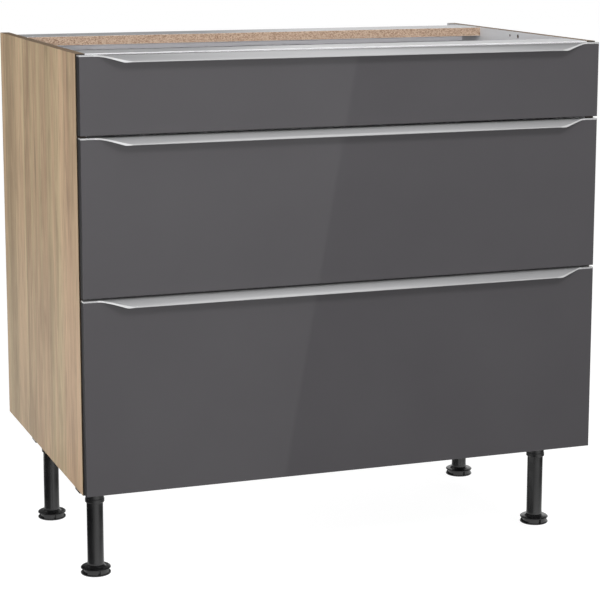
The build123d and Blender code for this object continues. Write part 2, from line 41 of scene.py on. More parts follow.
import bmesh
import bpy
from bpy.props import FloatProperty, FloatVectorProperty, IntProperty, PointerProperty
from mathutils import Matrix, Vector

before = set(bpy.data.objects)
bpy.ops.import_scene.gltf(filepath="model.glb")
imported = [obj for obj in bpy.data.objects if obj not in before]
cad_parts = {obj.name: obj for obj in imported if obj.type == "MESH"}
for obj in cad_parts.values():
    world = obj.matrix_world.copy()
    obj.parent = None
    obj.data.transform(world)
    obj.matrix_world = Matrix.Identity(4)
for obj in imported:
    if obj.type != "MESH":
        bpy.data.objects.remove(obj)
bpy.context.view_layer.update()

MM = 0.001
DRAWERS = ("bottom", "middle", "top")
DEEP_DRAWERS = ("bottom", "middle")
SIDES = {"left": -1, "right": 1}
LEGS = ("front_left", "front_right", "rear_left", "rear_right")
LAMPS = {"overhead_softbox": "overhead", "camera_strip": "ahead", "left_softbox": "left"}
SKIN = 0.3 * MM            # a laminate or edging shows this deep into a board

# ---------------------------------------------------------------- places read from the frame
PANEL_LOW, PANEL_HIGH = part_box("side_panel_right")
X_IN, X_OUT = PANEL_LOW.x, PANEL_HIGH.x
Y_EDGE, Y_REAR = PANEL_LOW.y, PANEL_HIGH.y
Z_BOTTOM, Z_TOP = PANEL_LOW.z, PANEL_HIGH.z
FRONT_LOW, FRONT_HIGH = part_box("front_bottom")
Y_FACE, Y_FRONT_BACK = FRONT_LOW.y, FRONT_HIGH.y
GRIP_LOW, GRIP_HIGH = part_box("grip_profile_top")
X_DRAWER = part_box("drawer_base_bottom")[1].x

SIDE_GAP = 0.2 * MM        # drawer base to the inner face of the drawer side
FRONT_ROUNDING = 1.0 * MM  # of the edges round a front's face
BORED_ZONE = 16 * MM       # the bores of the side panels lie within this of the top
RUNNER_HOLES = (0, 4, 10)  # holes of the row that hold a runner, counted from the front
LIP_SCREWS = 4             # along each side of a drawer base
SMALL_SIDES = 24           # facets round a screw and round its boss
SPIN_SEED = 3              # of the loose turns of screws and rollers
MERGED = 1e-7              # points closer than this become one
APART = 1e-6               # keeps the ends of two round corners from meeting
SHARP_ANGLE = math.radians(32)   # edges above it stay sharp in the shading
BROKEN_ANGLE = math.radians(40)  # edges above it are broken by a bevel
WHITE = (1, 1, 1, 1)


def leg_centre(leg):
    """Centre line of a leg."""
    low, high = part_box(f"leg_tube_{leg}")
    return Vector(((low.x + high.x) / 2, (low.y + high.y) / 2, 0))


def side_of(node):
    """-1 for a node left of the middle, 1 for one right of it."""
    low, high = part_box(node)
    return -1 if low.x + high.x < 0 else 1


def srgb(red, green, blue):
    """Colour given as 0 to 255, as the linear colour that shaders take."""
    def linear(level):
        share = level / 255
        return share / 12.92 if share <= 0.04045 else ((share + 0.055) / 1.055) ** 2.4

    return (linear(red), linear(green), linear(blue), 1.0)


DULL_METAL = srgb(225, 227, 232)    # tint of the duller patches on metal
PALE_PLASTIC = srgb(128, 128, 130)  # plastic pales a little towards it where it shines less


# ---------------------------------------------------------------- node trees
class Wiring:
    """Adds nodes to a tree. Any input takes a number, a colour or another node's socket."""

    def __init__(self, tree):
        self.tree = tree

    def feed(self, socket, value):
        if isinstance(value, bpy.types.NodeSocket):
            self.tree.links.new(value, socket)
        else:
            socket.default_value = value

    def add(self, kind, inputs=None, **settings):
        node = self.tree.nodes.new(kind)
        for name, value in settings.items():
            setattr(node, name, value)
        for name, value in (inputs or {}).items():
            self.feed(node.inputs[name], value)
        return node

    def math(self, operation, *values):
        node = self.add("ShaderNodeMath", operation=operation)
        for socket, value in zip(node.inputs, values):
            self.feed(socket, value)
        return node.outputs[0]

    def plus(self, first, second):
        return self.math("ADD", first, second)

    def minus(self, first, second):
        return self.math("SUBTRACT", first, second)

    def times(self, first, second):
        return self.math("MULTIPLY", first, second)

    def place(self):
        """Object coordinates, which are the frame's own metres on every piece."""
        return self.add("ShaderNodeTexCoord").outputs["Object"]

    def axes(self, vector):
        return self.add("ShaderNodeSeparateXYZ", {"Vector": vector}).outputs

    def vector(self, x, y, z):
        return self.add("ShaderNodeCombineXYZ", {"X": x, "Y": y, "Z": z}).outputs[0]

    def stretched(self, vector, scale, shift=(0, 0, 0)):
        inputs = {"Vector": vector, "Scale": scale, "Location": shift}
        return self.add("ShaderNodeMapping", inputs).outputs[0]

    def noise(self, vector, scale, detail=2.0, roughness=0.5, distortion=0.0, shift=(0, 0, 0)):
        """Soft noise; scale is in features per metre along each axis."""
        inputs = {
            "Vector": self.stretched(vector, scale, shift),
            "Scale": 1.0,
            "Detail": detail,
            "Roughness": roughness,
            "Distortion": distortion,
        }
        return self.add("ShaderNodeTexNoise", inputs).outputs["Fac"]

    def cells(self, vector, scale):
        """Outputs of a cell pattern; scale is in cells per metre along each axis."""
        inputs = {"Vector": self.stretched(vector, scale), "Scale": 1.0}
        return self.add("ShaderNodeTexVoronoi", inputs).outputs

    def ramp(self, factor, stops):
        node = self.add("ShaderNodeValToRGB", {"Fac": factor})
        elements = node.color_ramp.elements
        while len(elements) < len(stops):
            elements.new(0.5)
        for element, (position, colour) in zip(elements, stops):
            element.position = position
            element.color = colour
        return node.outputs["Color"]

    def fade(self, value, low, high, to_low=0.0, to_high=1.0):
        """Value from low to high, turned into to_low to to_high and held there beyond."""
        inputs = {
            "Value": value, "From Min": low, "From Max": high, "To Min": to_low, "To Max": to_high,
        }
        return self.add("ShaderNodeMapRange", inputs, clamp=True).outputs["Result"]

    def mix(self, factor, first, second, blend="MIX"):
        node = self.add("ShaderNodeMix", data_type="RGBA", blend_type=blend)
        for index, value in ((0, factor), (6, first), (7, second)):
            self.feed(node.inputs[index], value)
        return node.outputs[2]

    def bump(self, height, distance, strength=1.0, below=None):
        inputs = {"Height": height, "Distance": distance, "Strength": strength}
        if below is not None:
            inputs["Normal"] = below
        return self.add("ShaderNodeBump", inputs).outputs["Normal"]

    def either(self, *masks):
        total = masks[0]
        for mask in masks[1:]:
            total = self.math("MAXIMUM", total, mask)
        return total

    def near(self, value, level):
        """1 within a skin's depth of a level, else 0."""
        return self.math("COMPARE", value, level, SKIN)


def new_finish(name):
    """New material with its wiring and its shader."""
    material = bpy.data.materials.new(name)
    material.use_nodes = True
    return material, Wiring(material.node_tree), material.node_tree.nodes["Principled BSDF"]


def set_shader(wire, shader, **values):
    """Feeds the shader's inputs, which are named with _ for a space."""
    for name, value in values.items():
        wire.feed(shader.inputs[name.replace("_", " ")], value)


# ---------------------------------------------------------------- finishes
def chipboard_colour(wire, place, colours):
    """Pressed wood particles: a pale ground with flakes from tan to brown. Also their relief."""
    flakes = wire.axes(wire.cells(place, (520, 520, 700))["Color"])[0]
    grain = wire.noise(place, (900, 900, 1200), detail=3)
    level = wire.plus(wire.times(flakes, 0.75), wire.times(grain, 0.35))
    stops = ((0.12, colours.chip_dark), (0.45, colours.chip_middle), (0.95, colours.chip_light))
    return wire.ramp(level, stops), level


def laminate_colour(wire, place, ground, colours):
    """Melamine with the faint cloudiness of printed paper."""
    cloud = wire.noise(place, (9, 9, 9), detail=4)
    return wire.mix(wire.fade(cloud, 0.3, 0.7, 0.0, 0.05), ground, colours.cloud)


def wood_colour(wire, place, colours, wood):
    """Printed wood decor: upright staves, each with its own tone and streaks along its length.

    Every stave reads the noise at a place of its own. Densities are across the staves, then along.
    """
    x, y, z = wire.axes(place)
    row = {"W": wire.plus(y, wood.shift), "Scale": wood.staves, "Randomness": wood.uneven}
    staves = wire.add("ShaderNodeTexVoronoi", row, voronoi_dimensions="1D")
    stave = wire.axes(staves.outputs["Color"])
    joints = wire.add(
        "ShaderNodeTexVoronoi", row, voronoi_dimensions="1D", feature="DISTANCE_TO_EDGE",
    ).outputs["Distance"]
    own = wire.vector(wire.times(stave[1], 7.0), y, wire.plus(z, wire.times(stave[0], 9.0)))
    broad = wire.noise(own, (1, wood.stripes, 0.9), distortion=0.6)
    streak = wire.noise(own, (1, wood.streaks, 7.5), detail=4, roughness=0.65, distortion=0.9)
    fibre = wire.noise(own, (1, wood.fibres, 7), detail=3, roughness=0.7)
    level = wire.math("MULTIPLY_ADD", broad, 0.5, wire.times(streak, 0.5))
    level = wire.plus(level, wire.times(wire.minus(fibre, 0.5), wood.fibre_depth))
    level = wire.plus(level, wire.fade(stave[2], 0.0, 1.0, -wood.stave_tone, wood.stave_tone))
    stops = ((0.34, colours.wood_dark), (0.49, colours.wood_middle), (0.64, colours.wood_light))
    ground = wire.ramp(level, stops)
    # Red and olive stripes lie over the tone, and do not follow it.
    hue = wire.noise(own, (1, 34, 0.7), shift=(2, 5, 1))
    hue = wire.plus(hue, wire.fade(stave[0], 0.0, 1.0, -0.1, 0.1))
    red = wire.mix(1.0, ground, colours.wood_red, "MULTIPLY")
    olive = wire.mix(1.0, ground, colours.wood_olive, "MULTIPLY")
    tinted = wire.mix(wire.fade(hue, 0.38, 0.62), red, olive)
    # Short dark pores, long smudges, a few grey knots, and the lines between the staves.
    pores = wire.noise(own, (1, 420, 16), detail=1, shift=(3, 1, 2))
    smudges = wire.noise(own, (1, 75, 7), detail=3, distortion=0.6, shift=(1, 4, 6))
    knots = wire.cells(own, (1, 24, 5))
    rare = wire.fade(wire.axes(knots["Color"])[1], 0.82, 0.86)
    marks = wire.either(
        wire.fade(pores, 0.64, 0.76, 0.0, wood.pores),
        wire.fade(smudges, 0.58, 0.72, 0.0, wood.smudges),
        wire.times(rare, wire.fade(knots["Distance"], 0.05, 0.3, wood.knots, 0.0)),
        wire.fade(joints, 0.004, 0.03, wood.joints, 0.0),
    )
    return wire.mix(marks, tinted, colours.wood_pore), level


def side_panel_finish(colours, wood):
    """Wood decor outside, white inside, brown edging, a near-black painted gap shadow on the front edge,
    and raw board in the bores darkened with painted shade.
    """
    material, wire, shader = new_finish("side_panel_boards")
    place = wire.place()
    x, y, z = wire.axes(place)
    depth = wire.math("ABSOLUTE", x)
    outside, inside = wire.near(depth, X_OUT), wire.near(depth, X_IN)
    top, bottom = wire.near(z, Z_TOP), wire.near(z, Z_BOTTOM)
    front = wire.near(y, Y_EDGE)
    chips, chip_level = chipboard_colour(wire, place, colours)
    decor, decor_level = wood_colour(wire, place, colours, wood)
    edging = wire.mix(wire.noise(place, (60, 7, 240), detail=3), colours.edging, colours.wood_dark)
    # Painted shade: raw board in the bores near the top is darkened, mostly to the dark bore colour.
    bore_shade_mask = wire.fade(z, Z_TOP - BORED_ZONE - SKIN, Z_TOP - BORED_ZONE)
    bore_shade_mask = wire.minus(bore_shade_mask, wire.near(y, Y_REAR))
    chips = wire.mix(bore_shade_mask, chips, wire.mix(0.2, colours.bore, chips))
    colour = wire.mix(wire.either(top, bottom), chips, edging)
    # Painted shadow: the front edge is near-black and stands in for the shade in the gap behind the fronts.
    colour = wire.mix(front, colour, wire.mix(0.1, colours.painted_gap_shadow, edging))
    colour = wire.mix(inside, colour, laminate_colour(wire, place, colours.laminate, colours))
    colour = wire.mix(outside, colour, decor)
    smooth = wire.either(outside, inside, top, bottom, front)
    relief = wire.times(wire.minus(1.0, smooth), chip_level)
    relief = wire.plus(relief, wire.times(wire.times(outside, decor_level), 0.1))
    set_shader(
        wire, shader, Base_Color=colour, Roughness=wire.fade(smooth, 0, 1, 0.9, 0.5),
        Normal=wire.bump(relief, 0.3 * MM, 0.6), Specular_IOR_Level=0.15,
    )
    return material


def board_finish(name, axis, low, high, colours, banded=()):
    """Board with laminate on the two faces across an axis, edging where banded names a level."""
    material, wire, shader = new_finish(name)
    place = wire.place()
    axes = wire.axes(place)
    faces = wire.either(wire.near(axes[axis], low), wire.near(axes[axis], high))
    bands = [wire.near(axes[band_axis], level) for band_axis, level in banded]
    chips, level = chipboard_colour(wire, place, colours)
    white = wire.either(faces, *bands)
    colour = wire.mix(white, chips, laminate_colour(wire, place, colours.laminate, colours))
    rough = wire.bump(wire.times(wire.minus(1.0, white), level), 0.4 * MM, 0.7)
    fine = wire.noise(place, (1500, 1500, 1500))
    set_shader(
        wire, shader, Base_Color=colour, Roughness=wire.fade(white, 0, 1, 0.92, 0.26),
        Normal=wire.bump(fine, 0.004 * MM, 0.4, below=rough),
    )
    return material


def hardboard_finish(colours):
    """White lacquer on the inside, brown pressed fibre behind and on the edges."""
    material, wire, shader = new_finish("back_board")
    place = wire.place()
    y = wire.axes(place)[1]
    fibre = wire.noise(place, (700, 700, 260), detail=5, roughness=0.7)
    brown = wire.ramp(fibre, ((0.3, colours.hardboard_dark), (0.7, colours.hardboard_light)))
    painted = wire.near(y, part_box("back_panel")[0].y)
    colour = wire.mix(painted, brown, laminate_colour(wire, place, colours.back, colours))
    set_shader(
        wire, shader, Base_Color=colour, Roughness=wire.fade(painted, 0, 1, 0.85, 0.5),
        Normal=wire.bump(fibre, 0.06 * MM, 0.4),
    )
    return material


def front_finish(colours):
    """High gloss on the face, matt edges darkened with painted shade of the gaps, matt behind."""
    material, wire, shader = new_finish("gloss_fronts")
    place = wire.place()
    y = wire.axes(place)[1]
    behind = wire.near(y, Y_FRONT_BACK)
    edge = wire.fade(y, Y_FACE + FRONT_ROUNDING / 2, Y_FACE + 1.2 * FRONT_ROUNDING)
    peel = wire.noise(place, (45, 45, 45), detail=1)
    haze = wire.noise(place, (6, 6, 6), detail=3)
    gloss = wire.fade(haze, 0.3, 0.7, 0.015, 0.03)
    face = wire.mix(wire.fade(haze, 0.3, 0.7, 0.0, 0.005), colours.front, WHITE)
    # Painted shade: the edges are darker than the face, for the shade in the gaps round the fronts.
    colour = wire.mix(edge, face, colours.shaded_front_edge)
    set_shader(
        wire, shader, Base_Color=wire.mix(behind, colour, colours.front_back),
        Roughness=wire.math("MULTIPLY_ADD", edge, 0.6, gloss), IOR=1.5,
        Normal=wire.bump(peel, 0.004 * MM, 0.3),
    )
    return material


def metal_finish(name, colour, roughness, grain_scale, grain=0.06, bare=1.0, cut_colour=None):
    """Metal with fine marks; grain_scale gives their density along each axis.

    A bare share below 1 makes it milky, as under an anodised layer. Faces whose attribute
    "cut" is 1 are milled and have the cut's colour.
    """
    material, wire, shader = new_finish(name)
    place = wire.place()
    lines = wire.noise(place, grain_scale, detail=4, roughness=0.6)
    cloud = wire.noise(place, (14, 14, 14), detail=3)
    clouded = wire.mix(1.0, colour, DULL_METAL, "MULTIPLY")
    finish = wire.mix(wire.fade(cloud, 0.3, 0.7, 0.0, 0.12), colour, clouded)
    if cut_colour:
        cut = wire.add("ShaderNodeAttribute", attribute_name="cut").outputs["Fac"]
        finish = wire.mix(cut, finish, cut_colour)
    set_shader(
        wire, shader, Metallic=bare, Base_Color=finish,
        Roughness=wire.fade(lines, 0.25, 0.75, roughness - grain, roughness + grain),
        Normal=wire.bump(lines, 0.004 * MM, 0.5),
    )
    return material


def zinc_plate_finish(colours):
    """Zinc-plated sheet: faint crystals in slightly different greys."""
    material, wire, shader = new_finish("zinc_plate")
    place = wire.place()
    crystal = wire.axes(wire.cells(place, (130, 130, 130))["Color"])[0]
    drawn = wire.noise(place, (500, 9, 500), detail=3)
    set_shader(
        wire, shader, Metallic=1.0,
        Base_Color=wire.mix(wire.fade(crystal, 0, 1, 0.0, 0.25), colours.zinc, colours.zinc_crystal),
        Roughness=wire.fade(wire.plus(crystal, drawn), 0.2, 1.8, 0.26, 0.44),
        Normal=wire.bump(drawn, 0.01 * MM, 0.4),
    )
    return material


def enamel_finish(colours):
    """Silver-grey powder coat with fine orange peel and a little metal flake."""
    material, wire, shader = new_finish("powder_coat")
    place = wire.place()
    peel = wire.noise(place, (420, 420, 420))
    flake = wire.axes(wire.cells(place, (2600, 2600, 2600))["Color"])[0]
    glint = wire.fade(flake, 0.7, 1.0, 0.0, 0.2)
    set_shader(
        wire, shader, Metallic=0.35, Roughness=wire.fade(flake, 0, 1, 0.36, 0.48),
        Base_Color=wire.mix(glint, colours.enamel, colours.enamel_flake),
        Normal=wire.bump(peel, 0.03 * MM, 0.45),
    )
    return material


def plastic_finish(name, colour, roughness):
    """Moulded plastic with fine spark erosion and uneven sheen."""
    material, wire, shader = new_finish(name)
    place = wire.place()
    erosion = wire.noise(place, (2200, 2200, 2200))
    sheen = wire.noise(place, (35, 35, 35), detail=3)
    paler = wire.mix(0.1, colour, PALE_PLASTIC)
    set_shader(
        wire, shader, Roughness=wire.fade(sheen, 0.3, 0.7, roughness - 0.05, roughness + 0.07),
        Base_Color=wire.mix(wire.fade(sheen, 0.3, 0.7, 0.0, 0.2), colour, paler),
        Normal=wire.bump(erosion, 0.03 * MM, 0.4), Specular_IOR_Level=0.8,
    )
    return material


def beech_finish(colours):
    """Turned beech, with fibres along pins that lie across the cabinet."""
    material, wire, shader = new_finish("beech_pins")
    fibre = wire.noise(wire.place(), (30, 900, 900), detail=4)
    set_shader(
        wire, shader, Roughness=0.6, Normal=wire.bump(fibre, 0.05 * MM, 0.5),
        Base_Color=wire.ramp(fibre, ((0.3, colours.beech_dark), (0.7, colours.beech_light))),
    )
    return material


def dress(node, material):
    """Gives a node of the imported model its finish."""
    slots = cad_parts[node].data.materials
    slots.clear()
    slots.append(material)


def dress_nodes(colours, wood):
    """Finishes of every node that keeps its own mesh."""
    side_panel = side_panel_finish(colours, wood)
    front = front_finish(colours)
    zinc_plate = zinc_plate_finish(colours)
    enamel = enamel_finish(colours)
    for side in SIDES:
        dress(f"side_panel_{side}", side_panel)
    dress("back_panel", hardboard_finish(colours))
    dress("dowels", beech_finish(colours))
    dress("cam_fittings", metal_finish("die_cast_zinc", colours.zinc, 0.42, (400, 400, 400)))
    for node in ("front_rail", "back_rail", "bottom_panel"):
        low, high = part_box(node)
        banded = () if node == "back_rail" else ((1, low.y),)
        dress(node, board_finish(f"{node}_board", 2, low.z, high.z, colours, banded))
    for drawer in DRAWERS:
        base, back = f"drawer_base_{drawer}", f"drawer_back_{drawer}"
        low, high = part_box(base)
        dress(base, board_finish(f"base_board_{drawer}", 2, low.z, high.z, colours))
        low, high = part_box(back)
        banded = ((2, high.z),)
        dress(back, board_finish(f"back_board_{drawer}", 1, low.y, high.y, colours, banded))
        dress(f"front_{drawer}", front)
        dress(f"drawer_rails_{drawer}", zinc_plate)
        dress(f"front_brackets_{drawer}", zinc_plate)
        for side in SIDES:
            dress(f"cabinet_rail_{drawer}_{side}", zinc_plate)
            dress(f"drawer_side_{drawer}_{side}", enamel)


# ---------------------------------------------------------------- forms
# A form is a pair: its points, and its faces as lists of point numbers.
def merged(*forms):
    """Several forms as one."""
    points, faces = [], []
    for form_points, form_faces in forms:
        first = len(points)
        points += form_points
        faces += [[first + number for number in face] for face in form_faces]
    return points, faces


def moved(form, shift):
    return [Vector(point) + Vector(shift) for point in form[0]], form[1]


def turned(form, angle, axis="Z"):
    matrix = Matrix.Rotation(angle, 3, axis)
    return [matrix @ Vector(point) for point in form[0]], form[1]


def walls(rings, steps):
    """Faces from each of a number of rings to the next one; the last ring's next is the first."""
    count = len(rings[0])
    points = [Vector(point) for ring in rings for point in ring]
    faces = []
    for level in range(steps):
        above = (level + 1) % len(rings)
        for number in range(count):
            after = (number + 1) % count
            faces.append([
                level * count + number, level * count + after,
                above * count + after, above * count + number,
            ])
    return points, faces


def skinned(rings):
    """Closed skin through rings of equally many points, with a fan at each end."""
    count, last = len(rings[0]), len(rings) - 1
    points, faces = walls(rings, last)
    for level in (0, last):
        points.append(sum((Vector(point) for point in rings[level]), Vector()) / count)
        for number in range(count):
            after = (number + 1) % count
            faces.append([level * count + number, level * count + after, len(points) - 1])
    return points, faces


def circle(radius, z, sides):
    turn = 2 * math.pi / sides
    return [(radius * math.cos(turn * n), radius * math.sin(turn * n), z) for n in range(sides)]


def lathed(profile, sides):
    """Solid of revolution about Z through a profile of (radius, height), closed at its ends."""
    return skinned([circle(radius, z, sides) for radius, z in profile])


def sleeve(profile, sides):
    """Ring of revolution: the profile of (radius, height) closes on itself."""
    return walls([circle(radius, z, sides) for radius, z in profile], len(profile))


def prism(outline, z0, z1):
    """Upright prism over a flat outline."""
    count = len(outline)
    points = [Vector((x, y, z)) for z in (z0, z1) for x, y in outline]
    faces = [list(range(count)), list(range(count, 2 * count))]
    for number in range(count):
        after = (number + 1) % count
        faces.append([number, after, count + after, count + number])
    return points, faces


def rounded_outline(low, high, radius, steps=6):
    """Rectangle with round corners, as points."""
    outline = []
    corners = ((high[0], high[1], 0), (low[0], high[1], 1), (low[0], low[1], 2), (high[0], low[1], 3))
    for x, y, quarter in corners:
        centre_x = x - radius if quarter in (0, 3) else x + radius
        centre_y = y - radius if quarter in (0, 1) else y + radius
        for step in range(steps + 1):
            angle = (quarter + step / steps) * math.pi / 2
            outline.append((centre_x + radius * math.cos(angle), centre_y + radius * math.sin(angle)))
    return outline


def box_form(low, high):
    outline = ((low[0], low[1]), (high[0], low[1]), (high[0], high[1]), (low[0], high[1]))
    return prism(outline, low[2], high[2])


def linked(name, data):
    """New object of the scene with the given data."""
    obj = bpy.data.objects.new(name, data)
    bpy.context.scene.collection.objects.link(obj)
    return obj


def face_outwards(mesh, merge=False):
    """Turns a mesh's faces outwards, after its doubled points are merged where that is asked."""
    work = bmesh.new()
    work.from_mesh(mesh)
    if merge:
        bmesh.ops.remove_doubles(work, verts=work.verts, dist=MERGED)
    bmesh.ops.recalc_face_normals(work, faces=work.faces)
    work.to_mesh(mesh)
    work.free()


def new_object(name, form, material=None):
    """Object from a form, its faces turned outwards and shaded smooth up to its sharp edges."""
    mesh = bpy.data.meshes.new(name)
    mesh.from_pydata([tuple(point) for point in form[0]], [], form[1])
    face_outwards(mesh, merge=True)
    if material:
        mesh.materials.append(material)
    shade(mesh)
    return linked(name, mesh)


def shade(mesh):
    """Smooth shading that stops at the sharp edges."""
    mesh.polygons.foreach_set("use_smooth", [True] * len(mesh.polygons))
    mesh.set_sharp_from_angle(angle=SHARP_ANGLE)


def soften(obj, width, segments=2):
    """Breaks the sharp edges of a piece."""
    bevel = obj.modifiers.new("soft_edges", "BEVEL")
    bevel.width = width
    bevel.segments = segments
    bevel.limit_method = "ANGLE"
    bevel.angle_limit = BROKEN_ANGLE
    bevel.harden_normals = True
    return obj


def baked(obj):
    """Turns what the modifiers make into the object's own mesh."""
    graph = bpy.context.evaluated_depsgraph_get()
    mesh = bpy.data.meshes.new_from_object(obj.evaluated_get(graph), depsgraph=graph)
    obj.modifiers.clear()
    old, obj.data = obj.data, mesh
    mesh.name = obj.name
    bpy.data.meshes.remove(old)


def settle(obj, body, slot, *nodes):
    """Ties a finished piece to its body and hides the nodes it stands for; the slot, the name of its
    finish, is not used.
    """
    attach(obj, body)
    if nodes:
        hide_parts(*nodes)


# ---------------------------------------------------------------- geometry trees
def geometry_tree(name, inputs):
    """Empty geometry tree with named inputs, given as {name: (socket kind, default)}."""
    tree = bpy.data.node_groups.new(name, "GeometryNodeTree")
    tree.interface.new_socket(name="Geometry", in_out="INPUT", socket_type="NodeSocketGeometry")
    for label, (kind, default) in inputs.items():
        socket = tree.interface.new_socket(name=label, in_out="INPUT", socket_type=kind)
        if default is not None:
            socket.default_value = default
    tree.interface.new_socket(name="Geometry", in_out="OUTPUT", socket_type="NodeSocketGeometry")
    wire = Wiring(tree)
    return wire, wire.add("NodeGroupInput").outputs, wire.add("NodeGroupOutput")


def ended(wire, geometry, given, result):
    """Ends a tree: copies become plain geometry, which takes the given finish."""
    real = wire.add("GeometryNodeRealizeInstances", {"Geometry": geometry})
    inputs = {"Geometry": real.outputs[0], "Material": given["Finish"]}
    finished = wire.add("GeometryNodeSetMaterial", inputs)
    wire.feed(result.inputs[0], finished.outputs[0])
    return wire.tree


def grow(obj, tree, values):
    """Runs a geometry tree on an object and keeps the result as its mesh."""
    modifier = obj.modifiers.new(tree.name, "NODES")
    modifier.node_group = tree
    for item in tree.interface.items_tree:
        if item.item_type == "SOCKET" and item.in_out == "INPUT" and item.name in values:
            modifier[item.identifier] = values[item.name]
    obj.update_tag()
    baked(obj)
    shade(obj.data)
    return obj


def set_out_tree():
    """Sets a copy of a pattern piece on every point, its Z along the point's axis."""
    wire, given, result = geometry_tree("set_out_on_points", {
        "Pattern": ("NodeSocketObject", None),
        "Finish": ("NodeSocketMaterial", None),
        "Loose turn": ("NodeSocketFloat", math.pi),
        "Seed": ("NodeSocketInt", SPIN_SEED),
    })
    axis = wire.add("GeometryNodeInputNamedAttribute", {"Name": "axis"}, data_type="FLOAT_VECTOR")
    upright = wire.add("FunctionNodeAlignRotationToVector", {"Vector": axis.outputs["Attribute"]}, axis="Z")
    turn = wire.add("FunctionNodeRandomValue", {"Seed": given["Seed"]}, data_type="FLOAT")
    spin = wire.times(turn.outputs["Value"], given["Loose turn"])
    about = wire.add("FunctionNodeAxisAngleToRotation", {"Axis": (0, 0, 1), "Angle": spin})
    placed = wire.add("FunctionNodeRotateRotation", {
        "Rotation": upright.outputs[0], "Rotate By": about.outputs[0],
    }, rotation_space="LOCAL")
    pattern = wire.add("GeometryNodeObjectInfo", {"Object": given["Pattern"]})
    copies = wire.add("GeometryNodeInstanceOnPoints", {
        "Points": given["Geometry"], "Instance": pattern.outputs["Geometry"],
        "Rotation": placed.outputs[0],
    })
    return ended(wire, copies.outputs[0], given, result)


def thread_tree():
    """Winds a thread round Z and joins it to the stem that is given."""
    wire, given, result = geometry_tree("wound_thread", {
        "Radius": ("NodeSocketFloat", 0.005),
        "Ridge": ("NodeSocketFloat", 0.0005),
        "Turns": ("NodeSocketFloat", 20.0),
        "Height": ("NodeSocketFloat", 0.03),
        "Place": ("NodeSocketVector", (0, 0, 0)),
        "Finish": ("NodeSocketMaterial", None),
    })
    helix = wire.add("GeometryNodeCurveSpiral", {
        "Resolution": 28, "Rotations": given["Turns"], "Start Radius": given["Radius"],
        "End Radius": given["Radius"], "Height": given["Height"],
    })
    ridge = wire.add("GeometryNodeCurvePrimitiveCircle", {"Resolution": 4, "Radius": given["Ridge"]})
    wound = wire.add("GeometryNodeCurveToMesh", {
        "Curve": helix.outputs[0], "Profile Curve": ridge.outputs[0], "Fill Caps": True,
    })
    lifted = wire.add("GeometryNodeTransform", {
        "Geometry": wound.outputs[0], "Translation": given["Place"],
    })
    both = wire.add("GeometryNodeJoinGeometry")
    for part in (given["Geometry"], lifted.outputs[0]):
        wire.tree.links.new(part, both.inputs[0])
    return ended(wire, both.outputs[0], given, result)


def milled_ends_tree():
    """Draws the ends of a grip in along X, following the S that a cutter leaves.

    The S is a tight arc, then a wide one. Points with the attribute "milled" at 1 move; how far
    depends on how far each point stands ahead of the front.
    """
    wire, given, result = geometry_tree("milled_ends", {
        "Face": ("NodeSocketFloat", 0.0),
        "Half width": ("NodeSocketFloat", 0.45),
        "Flat end": ("NodeSocketFloat", 0.04),
        "Swoop": ("NodeSocketFloat", 0.05),
        "Cut reach": ("NodeSocketFloat", 0.02),
        "Turn in": ("NodeSocketFloat", 0.5),
        "Finish": ("NodeSocketMaterial", None),
    })
    position = wire.add("GeometryNodeInputPosition").outputs[0]
    x, y, z = wire.axes(position)
    ahead = wire.math("MAXIMUM", wire.minus(given["Face"], y), 0.0)
    # Twice the sum of both arcs' radii, from the S's length and reach.
    run, reach, share = given["Swoop"], given["Cut reach"], given["Turn in"]
    chord = wire.plus(wire.times(run, run), wire.times(reach, reach))
    diameters = wire.math("DIVIDE", chord, reach)

    def along_arc(depth, part):
        """How far an arc with this part of the diameters has run along X once it is this deep."""
        square = wire.minus(wire.times(wire.times(diameters, part), depth), wire.times(depth, depth))
        return wire.math("SQRT", wire.math("MAXIMUM", square, 0.0))

    early = along_arc(ahead, share)
    late = wire.minus(run, along_arc(wire.minus(reach, ahead), wire.minus(1.0, share)))
    past_bend = wire.math("GREATER_THAN", ahead, wire.times(reach, share))
    drawn = wire.math("MULTIPLY_ADD", past_bend, wire.minus(late, early), early)
    end = wire.minus(wire.minus(given["Half width"], given["Flat end"]), drawn)
    place = wire.vector(wire.times(wire.math("SIGN", x), end), y, z)
    milled = wire.add("GeometryNodeInputNamedAttribute", {"Name": "milled"}, data_type="FLOAT")
    chosen = wire.math("GREATER_THAN", milled.outputs["Attribute"], 0.5)
    shaped = wire.add("GeometryNodeSetPosition", {
        "Geometry": given["Geometry"], "Selection": chosen, "Position": place,
    })
    return ended(wire, shaped.outputs[0], given, result)


# ---------------------------------------------------------------- grips
def grip_section(sizes):
    """Levels of the grip ahead of the front: (distance ahead, upper height, lower height).

    Heights are below the flange's top. The wall follows an arc that leaves the flange level,
    and its nose is round.
    """
    nose = sizes.wall / 2
    reach = sizes.reach - nose
    turn = 2 * math.atan2(sizes.fall - sizes.wall, reach)
    radius = reach / math.sin(turn)
    centre = -nose - radius
    nose_height = centre + radius * math.cos(turn)
    upper_end = (radius + nose) * math.sin(turn)
    lower_end = (radius - nose) * math.sin(turn)

    def height(ahead, offset, end, side):
        if ahead <= end:
            return centre + math.sqrt((radius + offset) ** 2 - ahead ** 2)
        return nose_height + side * math.sqrt(max(nose ** 2 - (ahead - reach) ** 2, 0))

    steps = sizes.steps
    levels = [lower_end * (1 - math.cos(math.pi / 2 * n / steps)) for n in range(steps)]
    first_angle = math.acos((lower_end - reach) / nose)
    levels += [reach + nose * math.cos(first_angle * (1 - n / steps)) for n in range(steps + 1)]
    return [
        (ahead, height(ahead, nose, upper_end, 1), height(ahead, -nose, lower_end, -1))
        for ahead in levels
    ]


